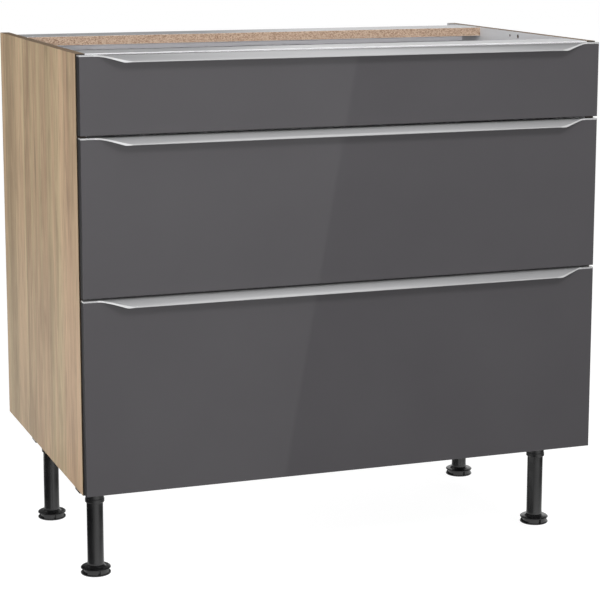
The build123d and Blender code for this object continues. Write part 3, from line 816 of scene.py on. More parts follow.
def make_grip(drawer, sizes, finish, tree):
    """Aluminium profile: the flange on the front's top edge and the curved grip ahead of it."""
    node = f"grip_profile_{drawer}"
    low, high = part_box(node)
    half, top = high.x, high.z
    flange_low = top - sizes.wall
    section = grip_section(sizes)
    points, milled = [], []

    def point(x, y, z, moves=0.0):
        points.append((x, y, z))
        milled.append(moves)
        return len(points) - 1

    # Rows of point numbers from the front to the nose, and the flange's corners.
    left, right = ends = (-1, 1)
    inner = half - sizes.flat_end
    uppers = [[point(s * inner, Y_FACE - d, top + up, 1.0) for s in ends] for d, up, down in section]
    lowers = [
        [point(s * inner, Y_FACE - d, top + down, 1.0) for s in ends] for d, up, down in section[:-1]
    ]
    lowers.append(uppers[-1])
    corners = {
        (s, y, z): point(s * half, y, z)
        for s in ends for y in (Y_FACE, high.y) for z in (top, flange_low)
    }
    caps, faces = [], []
    for level in range(len(section) - 1):
        for row in (uppers, lowers):
            faces.append([row[level][0], row[level][1], row[level + 1][1], row[level + 1][0]])
        for end in (0, 1):
            cap = [uppers[level][end], uppers[level + 1][end], lowers[level + 1][end], lowers[level][end]]
            caps.append(list(dict.fromkeys(cap)))
    for z, row in ((top, uppers), (flange_low, lowers)):
        faces.append([
            corners[left, high.y, z], corners[right, high.y, z], corners[right, Y_FACE, z],
            row[0][1], row[0][0], corners[left, Y_FACE, z],
        ])
    faces.append([corners[s, high.y, z] for s, z in (
        (left, top), (right, top), (right, flange_low), (left, flange_low))])
    for end, s in enumerate(ends):
        faces.append([corners[s, y, z] for y, z in (
            (Y_FACE, top), (high.y, top), (high.y, flange_low), (Y_FACE, flange_low))])
        faces.append([
            corners[s, Y_FACE, top], uppers[0][end], lowers[0][end], corners[s, Y_FACE, flange_low],
        ])
    mesh = bpy.data.meshes.new(f"grip_{drawer}")
    mesh.from_pydata(points, [], caps + faces)
    mesh.attributes.new("milled", "FLOAT", "POINT").data.foreach_set("value", milled)
    cut = [1.0] * len(caps) + [0.0] * len(faces)
    mesh.attributes.new("cut", "FLOAT", "FACE").data.foreach_set("value", cut)
    obj = linked(f"grip_{drawer}", mesh)
    grow(obj, tree, {
        "Face": Y_FACE, "Half width": half, "Flat end": sizes.flat_end, "Swoop": sizes.swoop,
        "Cut reach": sizes.reach + sizes.cut_past_nose, "Turn in": sizes.turn_in, "Finish": finish,
    })
    face_outwards(obj.data)
    shade(obj.data)
    settle(obj, f"drawer_{drawer}", "anodised_aluminium", node)


# ---------------------------------------------------------------- legs
def foot_form(sizes, height):
    """Foot: sole, two lips, a band with grip pockets and tool slots, a hub and the stem."""
    radius, stem = sizes.foot_radius, sizes.stem_radius - sizes.thread
    lip, thick = sizes.lip, sizes.foot_height
    hub_top = thick + sizes.hub_height
    pocket, slot = sizes.pocket_angle, sizes.slot_angle
    gaps = [(0, pocket), (180, pocket), (90, slot), (270, slot)]
    # In degrees: evenly round, and to both sides of each gap's ends.
    angles = set(range(0, 360, 5))
    for middle, width in gaps:
        for end in (middle - width / 2, middle + width / 2):
            angles |= {(end - sizes.flank_angle) % 360, (end + sizes.flank_angle) % 360}
    angles = sorted(angles)

    def recess(angle):
        for middle, width in gaps:
            away = abs((angle - middle + 180) % 360 - 180)
            if away < width / 2:
                return sizes.pocket
        return sizes.waist

    def ring(distance, z, banded=False):
        points = []
        for angle in angles:
            r = distance - recess(angle) if banded else distance
            points.append((r * math.cos(math.radians(angle)), r * math.sin(math.radians(angle)), z))
        return points

    edge, hub, tube = sizes.edge, sizes.hub_radius, sizes.tube_radius
    return skinned([
        ring(radius - 2 * edge, 0), ring(radius - edge, 0), ring(radius, edge),
        ring(radius, lip - edge / 2), ring(radius - edge / 2, lip),
        ring(radius, lip, True), ring(radius, thick - lip, True),
        ring(radius - edge / 2, thick - lip), ring(radius, thick - lip + edge / 2),
        ring(radius, thick - lip / 2), ring(radius - lip / 2 + edge / 3, thick - edge / 3),
        ring(radius - lip / 2 - edge / 3, thick), ring(hub + edge / 2, thick),
        ring(hub - edge / 4, thick + edge / 4), ring(tube + edge / 4, hub_top - edge / 4),
        ring(tube - edge / 4, hub_top), ring(stem + edge, hub_top), ring(stem, hub_top + edge),
        ring(stem, height - 2 * edge), ring(stem - edge, height),
    ])


def make_foot(leg, sizes, finish, tree):
    """Screw foot: the moulded foot and stem, and the thread that is wound on the stem."""
    node = f"foot_{leg}"
    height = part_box(node)[1].z
    obj = new_object(f"screw_foot_{leg}", foot_form(sizes, height))
    hub_top = sizes.foot_height + sizes.hub_height
    threaded = height - hub_top - 4 * sizes.edge
    grow(obj, tree, {
        "Radius": sizes.stem_radius - sizes.thread, "Ridge": sizes.thread * sizes.thread_share,
        "Turns": threaded / sizes.thread_pitch, "Height": threaded,
        "Place": (0, 0, hub_top + 2 * sizes.edge), "Finish": finish,
    })
    obj.data.transform(Matrix.Translation(leg_centre(leg)))
    settle(obj, f"foot_{leg}", "black_plastic", node)


def make_tube(leg, sizes, finish):
    """Leg tube: smooth outside, a rim at its lower end and the bore of the stem."""
    node = f"leg_tube_{leg}"
    low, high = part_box(node)
    radius, edge = sizes.tube_radius, sizes.edge
    bore, hollow = sizes.stem_radius + sizes.play, radius - sizes.tube_wall
    nut = low.z + sizes.nut_height
    profile = [
        (bore, low.z + edge), (bore + edge, low.z), (radius - edge, low.z), (radius, low.z + edge),
        (radius, low.z + 6 * edge), (radius - edge / 3, low.z + 7 * edge),
        (radius - edge / 3, high.z - edge), (radius - edge, high.z),
        (hollow, high.z), (hollow, nut), (bore, nut),
    ]
    obj = new_object(f"tube_{leg}", moved(sleeve(profile, sizes.sides), leg_centre(leg)), finish)
    settle(obj, "carcass", "black_plastic", node)


def make_socket(leg, sizes, finish):
    """Socket: plate, collar with a thick rim, stiffening ribs, screw bosses and the rest lip."""
    node = f"leg_socket_{leg}"
    low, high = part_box(node)
    side = side_of(node)
    centre = leg_centre(leg)
    plate_low = high.z - sizes.plate
    bore = sizes.tube_radius + sizes.play
    outer = sizes.tube_radius + sizes.play + sizes.collar_wall
    edge, rim = sizes.edge, sizes.rim
    x0, x1 = sorted((side * X_IN, low.x if side == 1 else high.x))
    outline = rounded_outline((x0, low.y), (x1, high.y), sizes.plate_corner)
    plate = prism(outline, plate_low, high.z)
    x0, x1 = sorted((side * (X_IN - sizes.plate_corner), high.x if side == 1 else low.x))
    outline = rounded_outline((x0, low.y), (x1, low.y + sizes.rest_lip), edge)
    rest_lip = prism(outline, plate_low, high.z)
    collar = moved(sleeve([
        (bore, low.z + edge), (bore + edge, low.z), (outer - edge, low.z), (outer, low.z + edge),
        (outer, low.z + rim - edge), (outer - edge, low.z + rim), (outer - edge, plate_low - edge),
        (outer, plate_low), (bore, plate_low),
    ], sizes.sides), centre)
    half = sizes.rib_thickness / 2
    rib = (
        [Vector(p) for y in (-half, half) for p in (
            (outer - edge, y, plate_low), (outer + sizes.rib, y, plate_low),
            (outer - edge, y, plate_low - sizes.rib))],
        [[0, 1, 2], [3, 4, 5], [0, 1, 4, 3], [1, 2, 5, 4], [2, 0, 3, 5]],
    )
    ribs = [moved(turned(rib, math.radians(45 + 90 * quarter)), centre) for quarter in range(4)]
    boss, hole = sizes.boss, sizes.boss - 1.2 * edge
    ring = sleeve([(hole, 0.0), (boss, 0.0), (boss, -edge), (hole, -edge)], SMALL_SIDES)
    bosses = [moved(ring, place) for place, axis in socket_screws(leg, sizes)]
    obj = new_object(f"socket_{leg}", merged(plate, rest_lip, collar, *ribs, *bosses), finish)
    soften(obj, edge / 2)
    settle(obj, "carcass", "black_plastic", node)


def socket_screws(leg, sizes):
    """Screws of a socket's plate, driven up into the bottom panel: (place, axis)."""
    node = f"leg_socket_{leg}"
    low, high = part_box(node)
    side = side_of(node)
    inset = sizes.screw_inset
    inner = low.x if side == 1 else high.x
    z = high.z - sizes.plate
    return [
        (Vector((x, y, z)), Vector((0, 0, -1)))
        for x in (inner + side * inset, side * (X_IN - inset))
        for y in (low.y + inset, high.y - inset)
    ]


# ---------------------------------------------------------------- runners and drawers
def roller_form(sizes):
    """Roller with a rounded tread, a hub ring and the ends of its pin."""
    half, radius, edge, pin = sizes.roller_width / 2, sizes.roller_radius, sizes.edge, sizes.pin
    # End face from the hub to the tread: distance in from the tread and depth, both in edges.
    face = ((4, 0), (3.5, 1), (2, 1), (1, 0), (0, 1))
    lower = [(radius - inward * edge, -half + depth * edge) for inward, depth in face]
    upper = [(out, -height) for out, height in reversed(lower)]
    first = [(pin, -half - edge / 2), (pin, -half)]
    last = [(pin, half), (pin, half + edge / 2)]
    return lathed(first + lower + upper + last, sizes.roller_sides)


def make_middle_rail(drawer, side_name, sizes, zinc, black, tree, pattern):
    """Beam of two flanges and a web, and its rollers set out along it."""
    node = f"middle_rail_{drawer}_{side_name}"
    low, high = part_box(node)
    radius = sizes.roller_radius
    middle_x = (low.x + high.x) / 2
    z_low, z_high = low.z + radius, high.z - radius
    sheet, web = sizes.beam_sheet / 2, sizes.beam_web / 2
    flanges = [box_form((low.x, low.y, z - sheet), (high.x, high.y, z + sheet)) for z in (z_low, z_high)]
    upright = box_form((middle_x - web, low.y, z_low), (middle_x + web, high.y, z_high))
    obj = new_object(f"beam_{drawer}_{side_name}", merged(*flanges, upright), zinc)
    beam = soften(obj, sizes.edge / 3)
    settle(beam, f"runners_{drawer}", "zinc_plated_steel", node)
    places = []
    rows = ((z_low, high.y - sizes.roller_end, -1), (z_high, low.y + sizes.roller_end, 1))
    for z, y_end, step in rows:
        for y in (y_end, y_end + step * sizes.roller_span):
            for x in (low.x + sizes.roller_width / 2, high.x - sizes.roller_width / 2):
                places.append((Vector((x, y, z)), Vector((1, 0, 0))))
    rollers = set_out(f"rollers_{drawer}_{side_name}", places, tree, pattern, black)
    settle(rollers, f"runners_{drawer}", "black_plastic")


def make_gallery(drawer, sizes, finish):
    """Round rails over the sides of a deep drawer, with a ferrule at each end."""
    node = f"gallery_rails_{drawer}"
    low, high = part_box(node)
    ferrule, z = (high.z - low.z) / 2, (low.z + high.z) / 2
    rail, edge, end = sizes.gallery_radius, sizes.edge, sizes.ferrule_length
    whole = high.y - low.y
    form = turned(lathed([
        (ferrule - edge, 0), (ferrule, edge), (ferrule, end - edge), (ferrule - edge, end),
        (rail, end), (rail, whole - end), (ferrule - edge, whole - end), (ferrule, whole - end + edge),
        (ferrule, whole - edge), (ferrule - edge, whole),
    ], sizes.gallery_sides), -math.pi / 2, "X")
    rails = [moved(form, (x, low.y, z)) for x in (low.x + ferrule, high.x - ferrule)]
    obj = new_object(f"gallery_{drawer}", merged(*rails), finish)
    settle(obj, f"drawer_{drawer}", "grey_enamel", node)


def make_cover_caps(drawer, sizes, finish):
    """Oblong caps over the front fixings, on the inner face of each drawer side."""
    height = sizes.cap_height
    y0 = Y_EDGE + sizes.cap_from_edge
    z0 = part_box(f"drawer_base_{drawer}")[1].z + sizes.cap_above_base
    corners = (y0, z0), (y0 + sizes.cap_length, z0 + height)
    outline = rounded_outline(*corners, height / 2 - APART, sizes.cap_steps)
    points, faces = prism(outline, 0, sizes.cap_thickness)
    face = X_DRAWER + SIDE_GAP
    forms = [
        ([Vector((side * (face - point.z), point.x, point.y)) for point in points], faces)
        for side in SIDES.values()
    ]
    obj = new_object(f"cover_caps_{drawer}", merged(*forms), finish)
    soften(obj, sizes.cap_thickness / 2, 3)
    settle(obj, f"drawer_{drawer}", "grey_enamel")


# ---------------------------------------------------------------- screws
def screw_form(sizes):
    """Flat-topped screw head with a cross recess."""
    radius, height, edge = sizes.head_radius, sizes.head_height, sizes.edge
    arm, blade, depth = sizes.cross / 2, sizes.cross_width / 2, sizes.cross_depth
    # Plus-shaped mouth, taken round once with as many points as the rim.
    plus = [
        (arm, -blade), (arm, 0), (arm, blade), (blade * 1.8, blade), (blade, blade), (blade, blade * 1.8),
    ]
    mouth = []
    for quarter in range(4):
        turn = Matrix.Rotation(quarter * math.pi / 2, 2)
        mouth += [turn @ Vector(p) for p in plus]
    mouth = mouth[1:] + mouth[:1]
    narrowing = sizes.cross_narrowing
    return skinned([
        circle(radius, 0, SMALL_SIDES),
        circle(radius, height * 0.45, SMALL_SIDES),
        circle(radius - edge, height * 0.85, SMALL_SIDES),
        circle(radius - 2.4 * edge, height, SMALL_SIDES),
        [(p.x, p.y, height) for p in mouth],
        [(p.x * narrowing, p.y * narrowing, height - depth) for p in mouth],
    ])


def set_out(name, places, tree, pattern, finish):
    """Copies of a pattern piece on (place, axis) pairs, as one object."""
    mesh = bpy.data.meshes.new(name)
    mesh.from_pydata([tuple(place) for place, axis in places], [], [])
    attribute = mesh.attributes.new("axis", "FLOAT_VECTOR", "POINT")
    attribute.data.foreach_set("vector", [value for place, axis in places for value in axis])
    return grow(linked(name, mesh), tree, {"Pattern": pattern, "Finish": finish, "Seed": SPIN_SEED})


def runner_screws(sizes):
    """Screws that hold the cabinet rails' flanges to the side panels."""
    places = []
    for drawer in DRAWERS:
        for side_name, side in SIDES.items():
            x = side * (X_IN - sizes.runner_sheet)
            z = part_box(f"cabinet_rail_{drawer}_{side_name}")[0].z + sizes.runner_screw_height
            for hole in RUNNER_HOLES:
                y = Y_EDGE + sizes.first_hole + hole * sizes.hole_pitch
                places.append((Vector((x, y, z)), Vector((-side, 0, 0))))
    return places


def drawer_screws(drawer, sizes):
    """Screws of a drawer: front brackets, back tabs, and the base through the sides' lips."""
    places = []
    bracket_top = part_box(f"front_brackets_{drawer}")[1].z
    base_low, base_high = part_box(f"drawer_base_{drawer}")
    back_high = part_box(f"drawer_back_{drawer}")[1]
    front = Y_FRONT_BACK + sizes.bracket_sheet
    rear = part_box(f"drawer_side_{drawer}_left")[1].y
    lip_low = base_low.z - sizes.runner_sheet
    back_rows = 3 if drawer in DEEP_DRAWERS else 2
    for side in SIDES.values():
        tab_x, lip_x = side * (X_DRAWER - sizes.tab_middle), side * (X_DRAWER - sizes.lip_middle)
        for z in (base_high.z + sizes.tab_screw, bracket_top - sizes.tab_screw + sizes.head_radius):
            places.append((Vector((tab_x, front, z)), Vector((0, 1, 0))))
        for n in range(back_rows):
            z = base_high.z + (back_high.z - base_high.z) * (n + 0.5) / back_rows
            places.append((Vector((tab_x, rear, z)), Vector((0, 1, 0))))
        for n in range(LIP_SCREWS):
            # From 10 % to 90 % of the base's depth.
            y = base_low.y + (base_high.y - base_low.y) * (0.1 + 0.8 * n / (LIP_SCREWS - 1))
            places.append((Vector((lip_x, y, lip_low)), Vector((0, 0, -1))))
    return places


# ---------------------------------------------------------------- stage
def cleared(owner):
    """Wiring of a material or world whose tree starts empty."""
    owner.use_nodes = True
    owner.node_tree.nodes.clear()
    return Wiring(owner.node_tree)


def seen_rays(wire):
    """1 for what the camera sees, itself or in gloss or glass, else 0."""
    rays = wire.add("ShaderNodeLightPath").outputs
    return wire.either(rays["Is Camera Ray"], rays["Is Glossy Ray"], rays["Is Transmission Ray"])


def make_world(stage):
    """White to the camera and in reflections; a softer level lights the cabinet."""
    world = bpy.data.worlds.new("studio_white")
    bpy.context.scene.world = world
    wire = cleared(world)
    strength = wire.fade(seen_rays(wire), 0, 1, stage.ambient, 1.0)
    background = wire.add("ShaderNodeBackground", {"Color": WHITE, "Strength": strength})
    wire.add("ShaderNodeOutputWorld", {"Surface": background.outputs[0]})


def make_floor(stage):
    """White floor that keeps the cabinet's soft shadow, low enough for a foot that is screwed out."""
    size, z = stage.floor_size, -stage.floor_drop
    corners = [(-size, -size, z), (size, -size, z), (size, size, z), (-size, size, z)]
    material = bpy.data.materials.new("studio_floor")
    obj = new_object("floor", (corners, [[0, 1, 2, 3]]), material)
    wire = cleared(material)
    seen = seen_rays(wire)
    grey = wire.fade(seen, 0, 1, stage.floor_bounce, stage.floor_shade)
    colour = wire.add("ShaderNodeCombineColor", {"Red": grey, "Green": grey, "Blue": grey})
    matt = wire.add("ShaderNodeBsdfDiffuse", {"Color": colour.outputs[0]})
    lift = wire.times(seen, stage.floor_lift)
    glow = wire.add("ShaderNodeEmission", {"Color": WHITE, "Strength": lift})
    both = wire.add("ShaderNodeAddShader")
    wire.feed(both.inputs[0], matt.outputs[0])
    wire.feed(both.inputs[1], glow.outputs[0])
    wire.add("ShaderNodeOutputMaterial", {"Surface": both.outputs[0]})


def aimed(place, target):
    """Rotation that points an object's -Z from a place to a target."""
    return (Vector(target) - Vector(place)).to_track_quat("-Z", "Y").to_euler()


def add_lamp(name, place, target, size, power):
    """Softbox that lights the cabinet, and that neither the camera nor the gloss sees."""
    data = bpy.data.lights.new(name, "AREA")
    data.shape = "RECTANGLE"
    data.size, data.size_y = size
    data.energy = power
    obj = linked(name, data)
    obj.location = place
    obj.rotation_euler = aimed(place, target)
    obj.visible_camera = False
    obj.visible_glossy = False


def add_card(name, corners, brightness):
    """Card that only reflections see. brightness takes its wiring and the axes of its surface."""
    material = bpy.data.materials.new(name)
    obj = new_object(name, (corners, [[0, 1, 2, 3]]), material)
    wire = cleared(material)
    strength = brightness(wire, *wire.axes(wire.place()))
    glow = wire.add("ShaderNodeEmission", {"Color": WHITE, "Strength": strength})
    wire.add("ShaderNodeOutputMaterial", {"Surface": glow.outputs[0]})
    obj.visible_camera = False
    obj.visible_diffuse = False
    obj.visible_shadow = False
    obj.visible_transmission = False
    obj.visible_volume_scatter = False


def make_floor_card(stage):
    """Card on the floor ahead: a slanted step in its grey divides the gloss of the fronts."""
    near, far, reach, lift = stage.card_near, stage.card_far, stage.floor_size, stage.card_lift
    edge_x, edge_y = stage.card_edge

    def brightness(wire, x, y, z):
        ahead = wire.minus(edge_y, y)
        past_step = wire.minus(x, wire.math("MULTIPLY_ADD", ahead, stage.card_slant, edge_x))
        right = wire.fade(past_step, -stage.card_soft, stage.card_soft)
        light = wire.fade(y, stage.card_fade, near, 1.0, stage.card_near_light)
        return wire.times(light, wire.fade(right, 0, 1, 1.0, stage.card_right))

    corners = [(-reach, near, lift), (reach, near, lift), (reach, far, lift), (-reach, far, lift)]
    add_card("floor_card", corners, brightness)


def hump(wire, x, middle, half, peak, ends):
    """Brightness with its peak at a middle, which falls off to both sides."""
    away = wire.minus(x, middle)
    return wire.fade(wire.times(away, away), 0.0, half * half, peak, ends)


def make_leg_card(side, stage):
    """Card on the floor round one side's legs: light to the right of the legs, dark elsewhere."""
    near, far, lift = stage.card_near, stage.leg_card_far, stage.card_lift
    inner, outer = stage.leg_card_right, SIDES[side] * stage.leg_card_reach
    light_x = leg_centre(f"front_{side}").x + stage.leg_card_right

    def brightness(wire, x, y, z):
        return hump(wire, x, light_x, stage.leg_card_half, 1.0, stage.left_card_low)

    corners = [(inner, near, lift), (outer, near, lift), (outer, far, lift), (inner, far, lift)]
    add_card(f"leg_card_{side}", corners, brightness)


def make_back_card(stage):
    """Upright card behind, which the tops mirror: light at the right, darker above the horizon."""
    half, height, y = stage.back_card_half, stage.back_card_height, stage.back_card_y

    def brightness(wire, x, y, z):
        across = wire.fade(x, stage.back_card_dark, stage.back_card_light, stage.back_low, stage.back_high)
        above = hump(wire, x, stage.dip_middle, stage.dip_half, stage.dip_peak, stage.dip_ends)
        higher = wire.fade(z, stage.dip_height - stage.dip_soft, stage.dip_height + stage.dip_soft)
        kept = wire.times(across, wire.minus(1.0, higher))
        return wire.math("MULTIPLY_ADD", above, higher, kept)

    corners = [(-half, y, 0), (half, y, 0), (half, y, height), (-half, y, height)]
    add_card("back_card", corners, brightness)


def make_top_card(stage):
    """Level card above, which the grips' noses mirror: light in the middle, darker to the ends."""
    half, z = stage.back_card_half, stage.top_card_height
    near, far = stage.top_card_near, stage.top_card_far

    def brightness(wire, x, y, z):
        return hump(wire, x, stage.top_card_middle, stage.top_card_half, 1.0, stage.top_card_ends)

    corners = [(-half, near, z), (half, near, z), (half, far, z), (-half, far, z)]
    add_card("top_card", corners, brightness)


def make_left_card(stage):
    """Dark card at the left, which keeps the fronts' edges and the legs black."""
    x, height = stage.left_card_x, stage.left_card_height
    near, far = stage.left_card_near, stage.back_card_y

    def brightness(wire, x, y, z):
        return wire.fade(z, 0, height, stage.left_card_low, stage.left_card_high)

    corners = [(x, near, 0), (x, far, 0), (x, far, height), (x, near, height)]
    add_card("left_card", corners, brightness)


def make_camera(stage):
    """Camera at the photograph's viewpoint; its lens is given in pixels of the picture."""
    picture = stage.picture
    data = bpy.data.cameras.new("photo_camera")
    data.sensor_width = 36.0
    data.lens = stage.focal_pixels * data.sensor_width / picture
    data.shift_x = (picture / 2 - stage.centre_pixel[0]) / picture
    data.shift_y = (stage.centre_pixel[1] - picture / 2) / picture
    data.clip_end = 50.0
    obj = linked("photo_camera", data)
    obj.location = stage.camera_place
    obj.rotation_euler = (math.pi / 2 - stage.camera_pitch, 0, -stage.camera_yaw)
    bpy.context.scene.camera = obj


# ---------------------------------------------------------------- settings
def length(label, value, text):
    return FloatProperty(name=label, description=text, default=value, subtype="DISTANCE", unit="LENGTH")


def number(label, value, text):
    return FloatProperty(name=label, description=text, default=value)


def whole(label, value, text):
    return IntProperty(name=label, description=text, default=value, min=4)


def spot(label, value, text):
    return FloatVectorProperty(name=label, description=text, default=value, subtype="XYZ", unit="LENGTH")


def spread(label, value, text):
    return FloatVectorProperty(name=label, description=text, default=value, size=2, unit="LENGTH")


def colour(label, value, text):
    return FloatVectorProperty(
        name=label, description=text, default=value, size=4, subtype="COLOR", min=0, max=1)


class CabinetColours(bpy.types.PropertyGroup):
    """Colours of the finishes."""

    wood_dark: colour("Wood, dark", srgb(152, 131, 109), "Dark streaks of the wood decor")
    wood_middle: colour("Wood", srgb(177, 156, 131), "Ground colour of the wood decor")
    wood_light: colour("Wood, light", srgb(198, 176, 148), "Light streaks of the wood decor")
    wood_red: colour("Wood, red", srgb(255, 245, 240), "Tint of the reddish stripes")
    wood_olive: colour("Wood, olive", srgb(251, 253, 243), "Tint of the olive stripes")
    wood_pore: colour("Pores", srgb(116, 101, 84), "Pores, knots and stave joints")
    edging: colour("Edging", srgb(150, 126, 100), "Edging on the top and bottom of the side panels")
    # Painted shadow: near-black for the side panels' front edge, which stands in for the shade in the gap
    # behind the fronts.
    painted_gap_shadow: colour("Front edging", srgb(14, 13, 13), "Edging behind the fronts")
    # Painted shade: a dark brown, much darker than the chipboard, for the raw board inside the bores.
    bore: colour("Bores", srgb(58, 46, 36), "Raw board inside the bores of the side panels")
    chip_dark: colour("Chipboard, dark", srgb(126, 99, 78), "Dark flakes")
    chip_middle: colour("Chipboard", srgb(171, 145, 126), "Ground colour of raw chipboard")
    chip_light: colour("Chipboard, light", srgb(197, 175, 154), "Light flakes")
    laminate: colour("Laminate", srgb(224, 224, 226), "White melamine")
    cloud: colour("Laminate, clouds", srgb(196, 197, 200), "Faint clouds in the melamine")
    back: colour("Back", srgb(248, 246, 251), "Inner face of the back")
    hardboard_dark: colour("Hardboard, dark", srgb(112, 84, 58), "Dark fibres behind the back")
    hardboard_light: colour("Hardboard, light", srgb(150, 117, 84), "Light fibres behind the back")
    beech_dark: colour("Beech, dark", srgb(178, 134, 92), "Dark fibres of the dowels")
    beech_light: colour("Beech, light", srgb(216, 176, 130), "Light fibres of the dowels")
    front: colour("Fronts", srgb(68, 66, 69), "High-gloss fronts, without their reflection")
    # Painted shade: the fronts' edges are darker than their face, for the shade in the gaps round them.
    shaded_front_edge: colour("Front edges", srgb(36, 35, 37), "Edges of the fronts")
    front_back: colour("Behind the fronts", srgb(92, 90, 93), "Matt rear face of the fronts")
    aluminium: colour("Aluminium", srgb(189, 189, 190), "Anodised grips")
    milled: colour("Milled", srgb(214, 214, 215), "Bare aluminium of the grips' milled ends")
    zinc: colour("Zinc", srgb(196, 199, 206), "Zinc-plated steel")
    zinc_crystal: colour("Zinc crystals", srgb(150, 156, 168), "Darker crystals of the zinc")
    enamel: colour("Enamel", srgb(176, 178, 181), "Powder coat of the drawer sides")
    enamel_flake: colour("Enamel flakes", srgb(235, 236, 238), "Metal flakes in the powder coat")
    black: colour("Black plastic", srgb(14, 14, 15), "Legs, sockets and rollers")


class WoodPattern(bpy.types.PropertyGroup):
    """Pattern of the wood decor. Densities are per metre across the staves."""

    staves: number("Staves", 11.0, "Staves per metre")
    uneven: number("Uneven staves", 0.9, "How much the staves differ in width")
    shift: length("Shift", 0.613, "Moves the staves along the panel's depth")
    stave_tone: number("Stave tone", 0.03, "How far a stave is lighter or darker than the ground")
    stripes: number("Stripes", 16.0, "Density of the broad stripes")
    streaks: number("Streaks", 60.0, "Density of the streaks")
    fibres: number("Fibres", 700.0, "Density of the fibres")
    fibre_depth: number("Fibre depth", 0.36, "How much the fibres show")
    pores: number("Pores", 0.45, "Darkness of the pores")
    smudges: number("Smudges", 0.4, "Darkness of the smudges")
    knots: number("Knots", 0.6, "Darkness of the knots")
    joints: number("Joints", 0.3, "Darkness of the lines between the staves")


class GripSizes(bpy.types.PropertyGroup):
    """Section and ends of the grip profiles."""

    reach: length("Reach", Y_FACE - GRIP_LOW.y, "Nose ahead of the front")
    fall: length("Fall", GRIP_HIGH.z - GRIP_LOW.z, "Height of the grip")
    wall: length("Wall", 2.5 * MM, "Thickness of the curved wall and of the flange")
    flat_end: length("Flat end", 23 * MM, "Length at each end where only the flange is left")
    swoop: length("Swoop", 67 * MM, "Length of the milled S")
    turn_in: number("Turn in", 0.1, "Share of the S that its tight arc takes")
    cut_past_nose: length("Cut past nose", 0.6 * MM, "How far the S runs out ahead of the nose")
    steps: whole("Steps", 14, "Levels along each stretch of the section")


class LegSizes(bpy.types.PropertyGroup):
    """Legs: sockets, tubes and screw feet."""

    tube_radius: length("Tube radius", 14 * MM, "Outside of the tube")
    tube_wall: length("Tube wall", 3 * MM, "Wall of the tube")
    nut_height: length("Nut height", 36 * MM, "Threaded lower end of the tube")
    stem_radius: length("Stem radius", 5 * MM, "Outside of the thread")
    thread: length("Thread", 0.7 * MM, "Depth of the thread")
    thread_share: number("Thread share", 0.95, "Share of that depth that the wound ridge takes")
    thread_pitch: length("Pitch", 2 * MM, "Pitch of the thread")
    play: length("Play", 0.1 * MM, "Clearance of stem and tube")
    foot_radius: length("Foot radius", 25 * MM, "Lips of the foot")
    foot_height: length("Foot height", 12 * MM, "Thickness of the foot's disc")
    lip: length("Lip", 2.4 * MM, "Height of each lip")
    waist: length("Waist", 1.5 * MM, "Band inside the lips")
    pocket: length("Pocket", 4.5 * MM, "Pockets inside the lips")
    pocket_angle: number("Pocket angle", 80.0, "Width of a grip pocket, in degrees")
    slot_angle: number("Slot angle", 9.0, "Width of a tool slot, in degrees")
    flank_angle: number("Flank angle", 0.35, "Half the slope at a pocket's end, in degrees")
    hub_radius: length("Hub radius", 17 * MM, "Foot of the hub")
    hub_height: length("Hub height", 3 * MM, "Height of the hub")
    plate: length("Plate", 4.5 * MM, "Thickness of the socket's plate")
    plate_corner: length("Plate corner", 8 * MM, "Corner radius of the plate")
    collar_wall: length("Collar wall", 2 * MM, "Wall of the collar")
    rim: length("Rim", 7 * MM, "Height of the collar's thick rim")
    rest_lip: length("Rest lip", 30 * MM, "Width of the lip under the side panel")
    rib: length("Rib", 14 * MM, "Reach of the stiffening ribs")
    rib_thickness: length("Rib thickness", 2 * MM, "Thickness of a rib")
    screw_inset: length("Screw inset", 9 * MM, "Plate's edge to its screws")
    boss: length("Boss", 5 * MM, "Radius of the ring round a screw")
    edge: length("Edge", 0.8 * MM, "Broken edges of the moulded pieces")
    sides: whole("Sides", 72, "Facets round a leg")


class RunnerSizes(bpy.types.PropertyGroup):
    """Middle rails with their rollers, gallery rails and cover caps."""

    roller_radius: length("Roller radius", 4.2 * MM, "Tread of a roller")
    roller_width: length("Roller width", 4.6 * MM, "Width of a roller")
    roller_sides: whole("Roller sides", 32, "Facets round a roller")
    pin: length("Pin", 1.2 * MM, "Radius of a roller's pin")
    roller_end: length("Roller end", 15 * MM, "Last roller to the rail's end")
    roller_span: length("Roller span", 180 * MM, "Between the rollers of a row")
    beam_sheet: length("Beam sheet", 2 * MM, "Flanges of the middle rail")
    beam_web: length("Beam web", 3 * MM, "Web of the middle rail")
    gallery_radius: length("Gallery radius", 5 * MM, "Gallery rail")
    gallery_sides: whole("Gallery sides", 40, "Facets round a gallery rail")
    ferrule_length: length("Ferrule", 12 * MM, "Length of a ferrule")
    cap_length: length("Cap length", 62 * MM, "Cover cap")
    cap_height: length("Cap height", 11 * MM, "Cover cap")
    cap_thickness: length("Cap thickness", 0.9 * MM, "Cover cap")
    cap_steps: whole("Cap steps", 10, "Facets of each quarter of a cap's round ends")
    cap_from_edge: length("Cap from edge", 16 * MM, "Carcass's front edge to the cap")
    cap_above_base: length("Cap above base", 16 * MM, "Drawer base to the cap")
    edge: length("Edge", 0.5 * MM, "Broken edges")


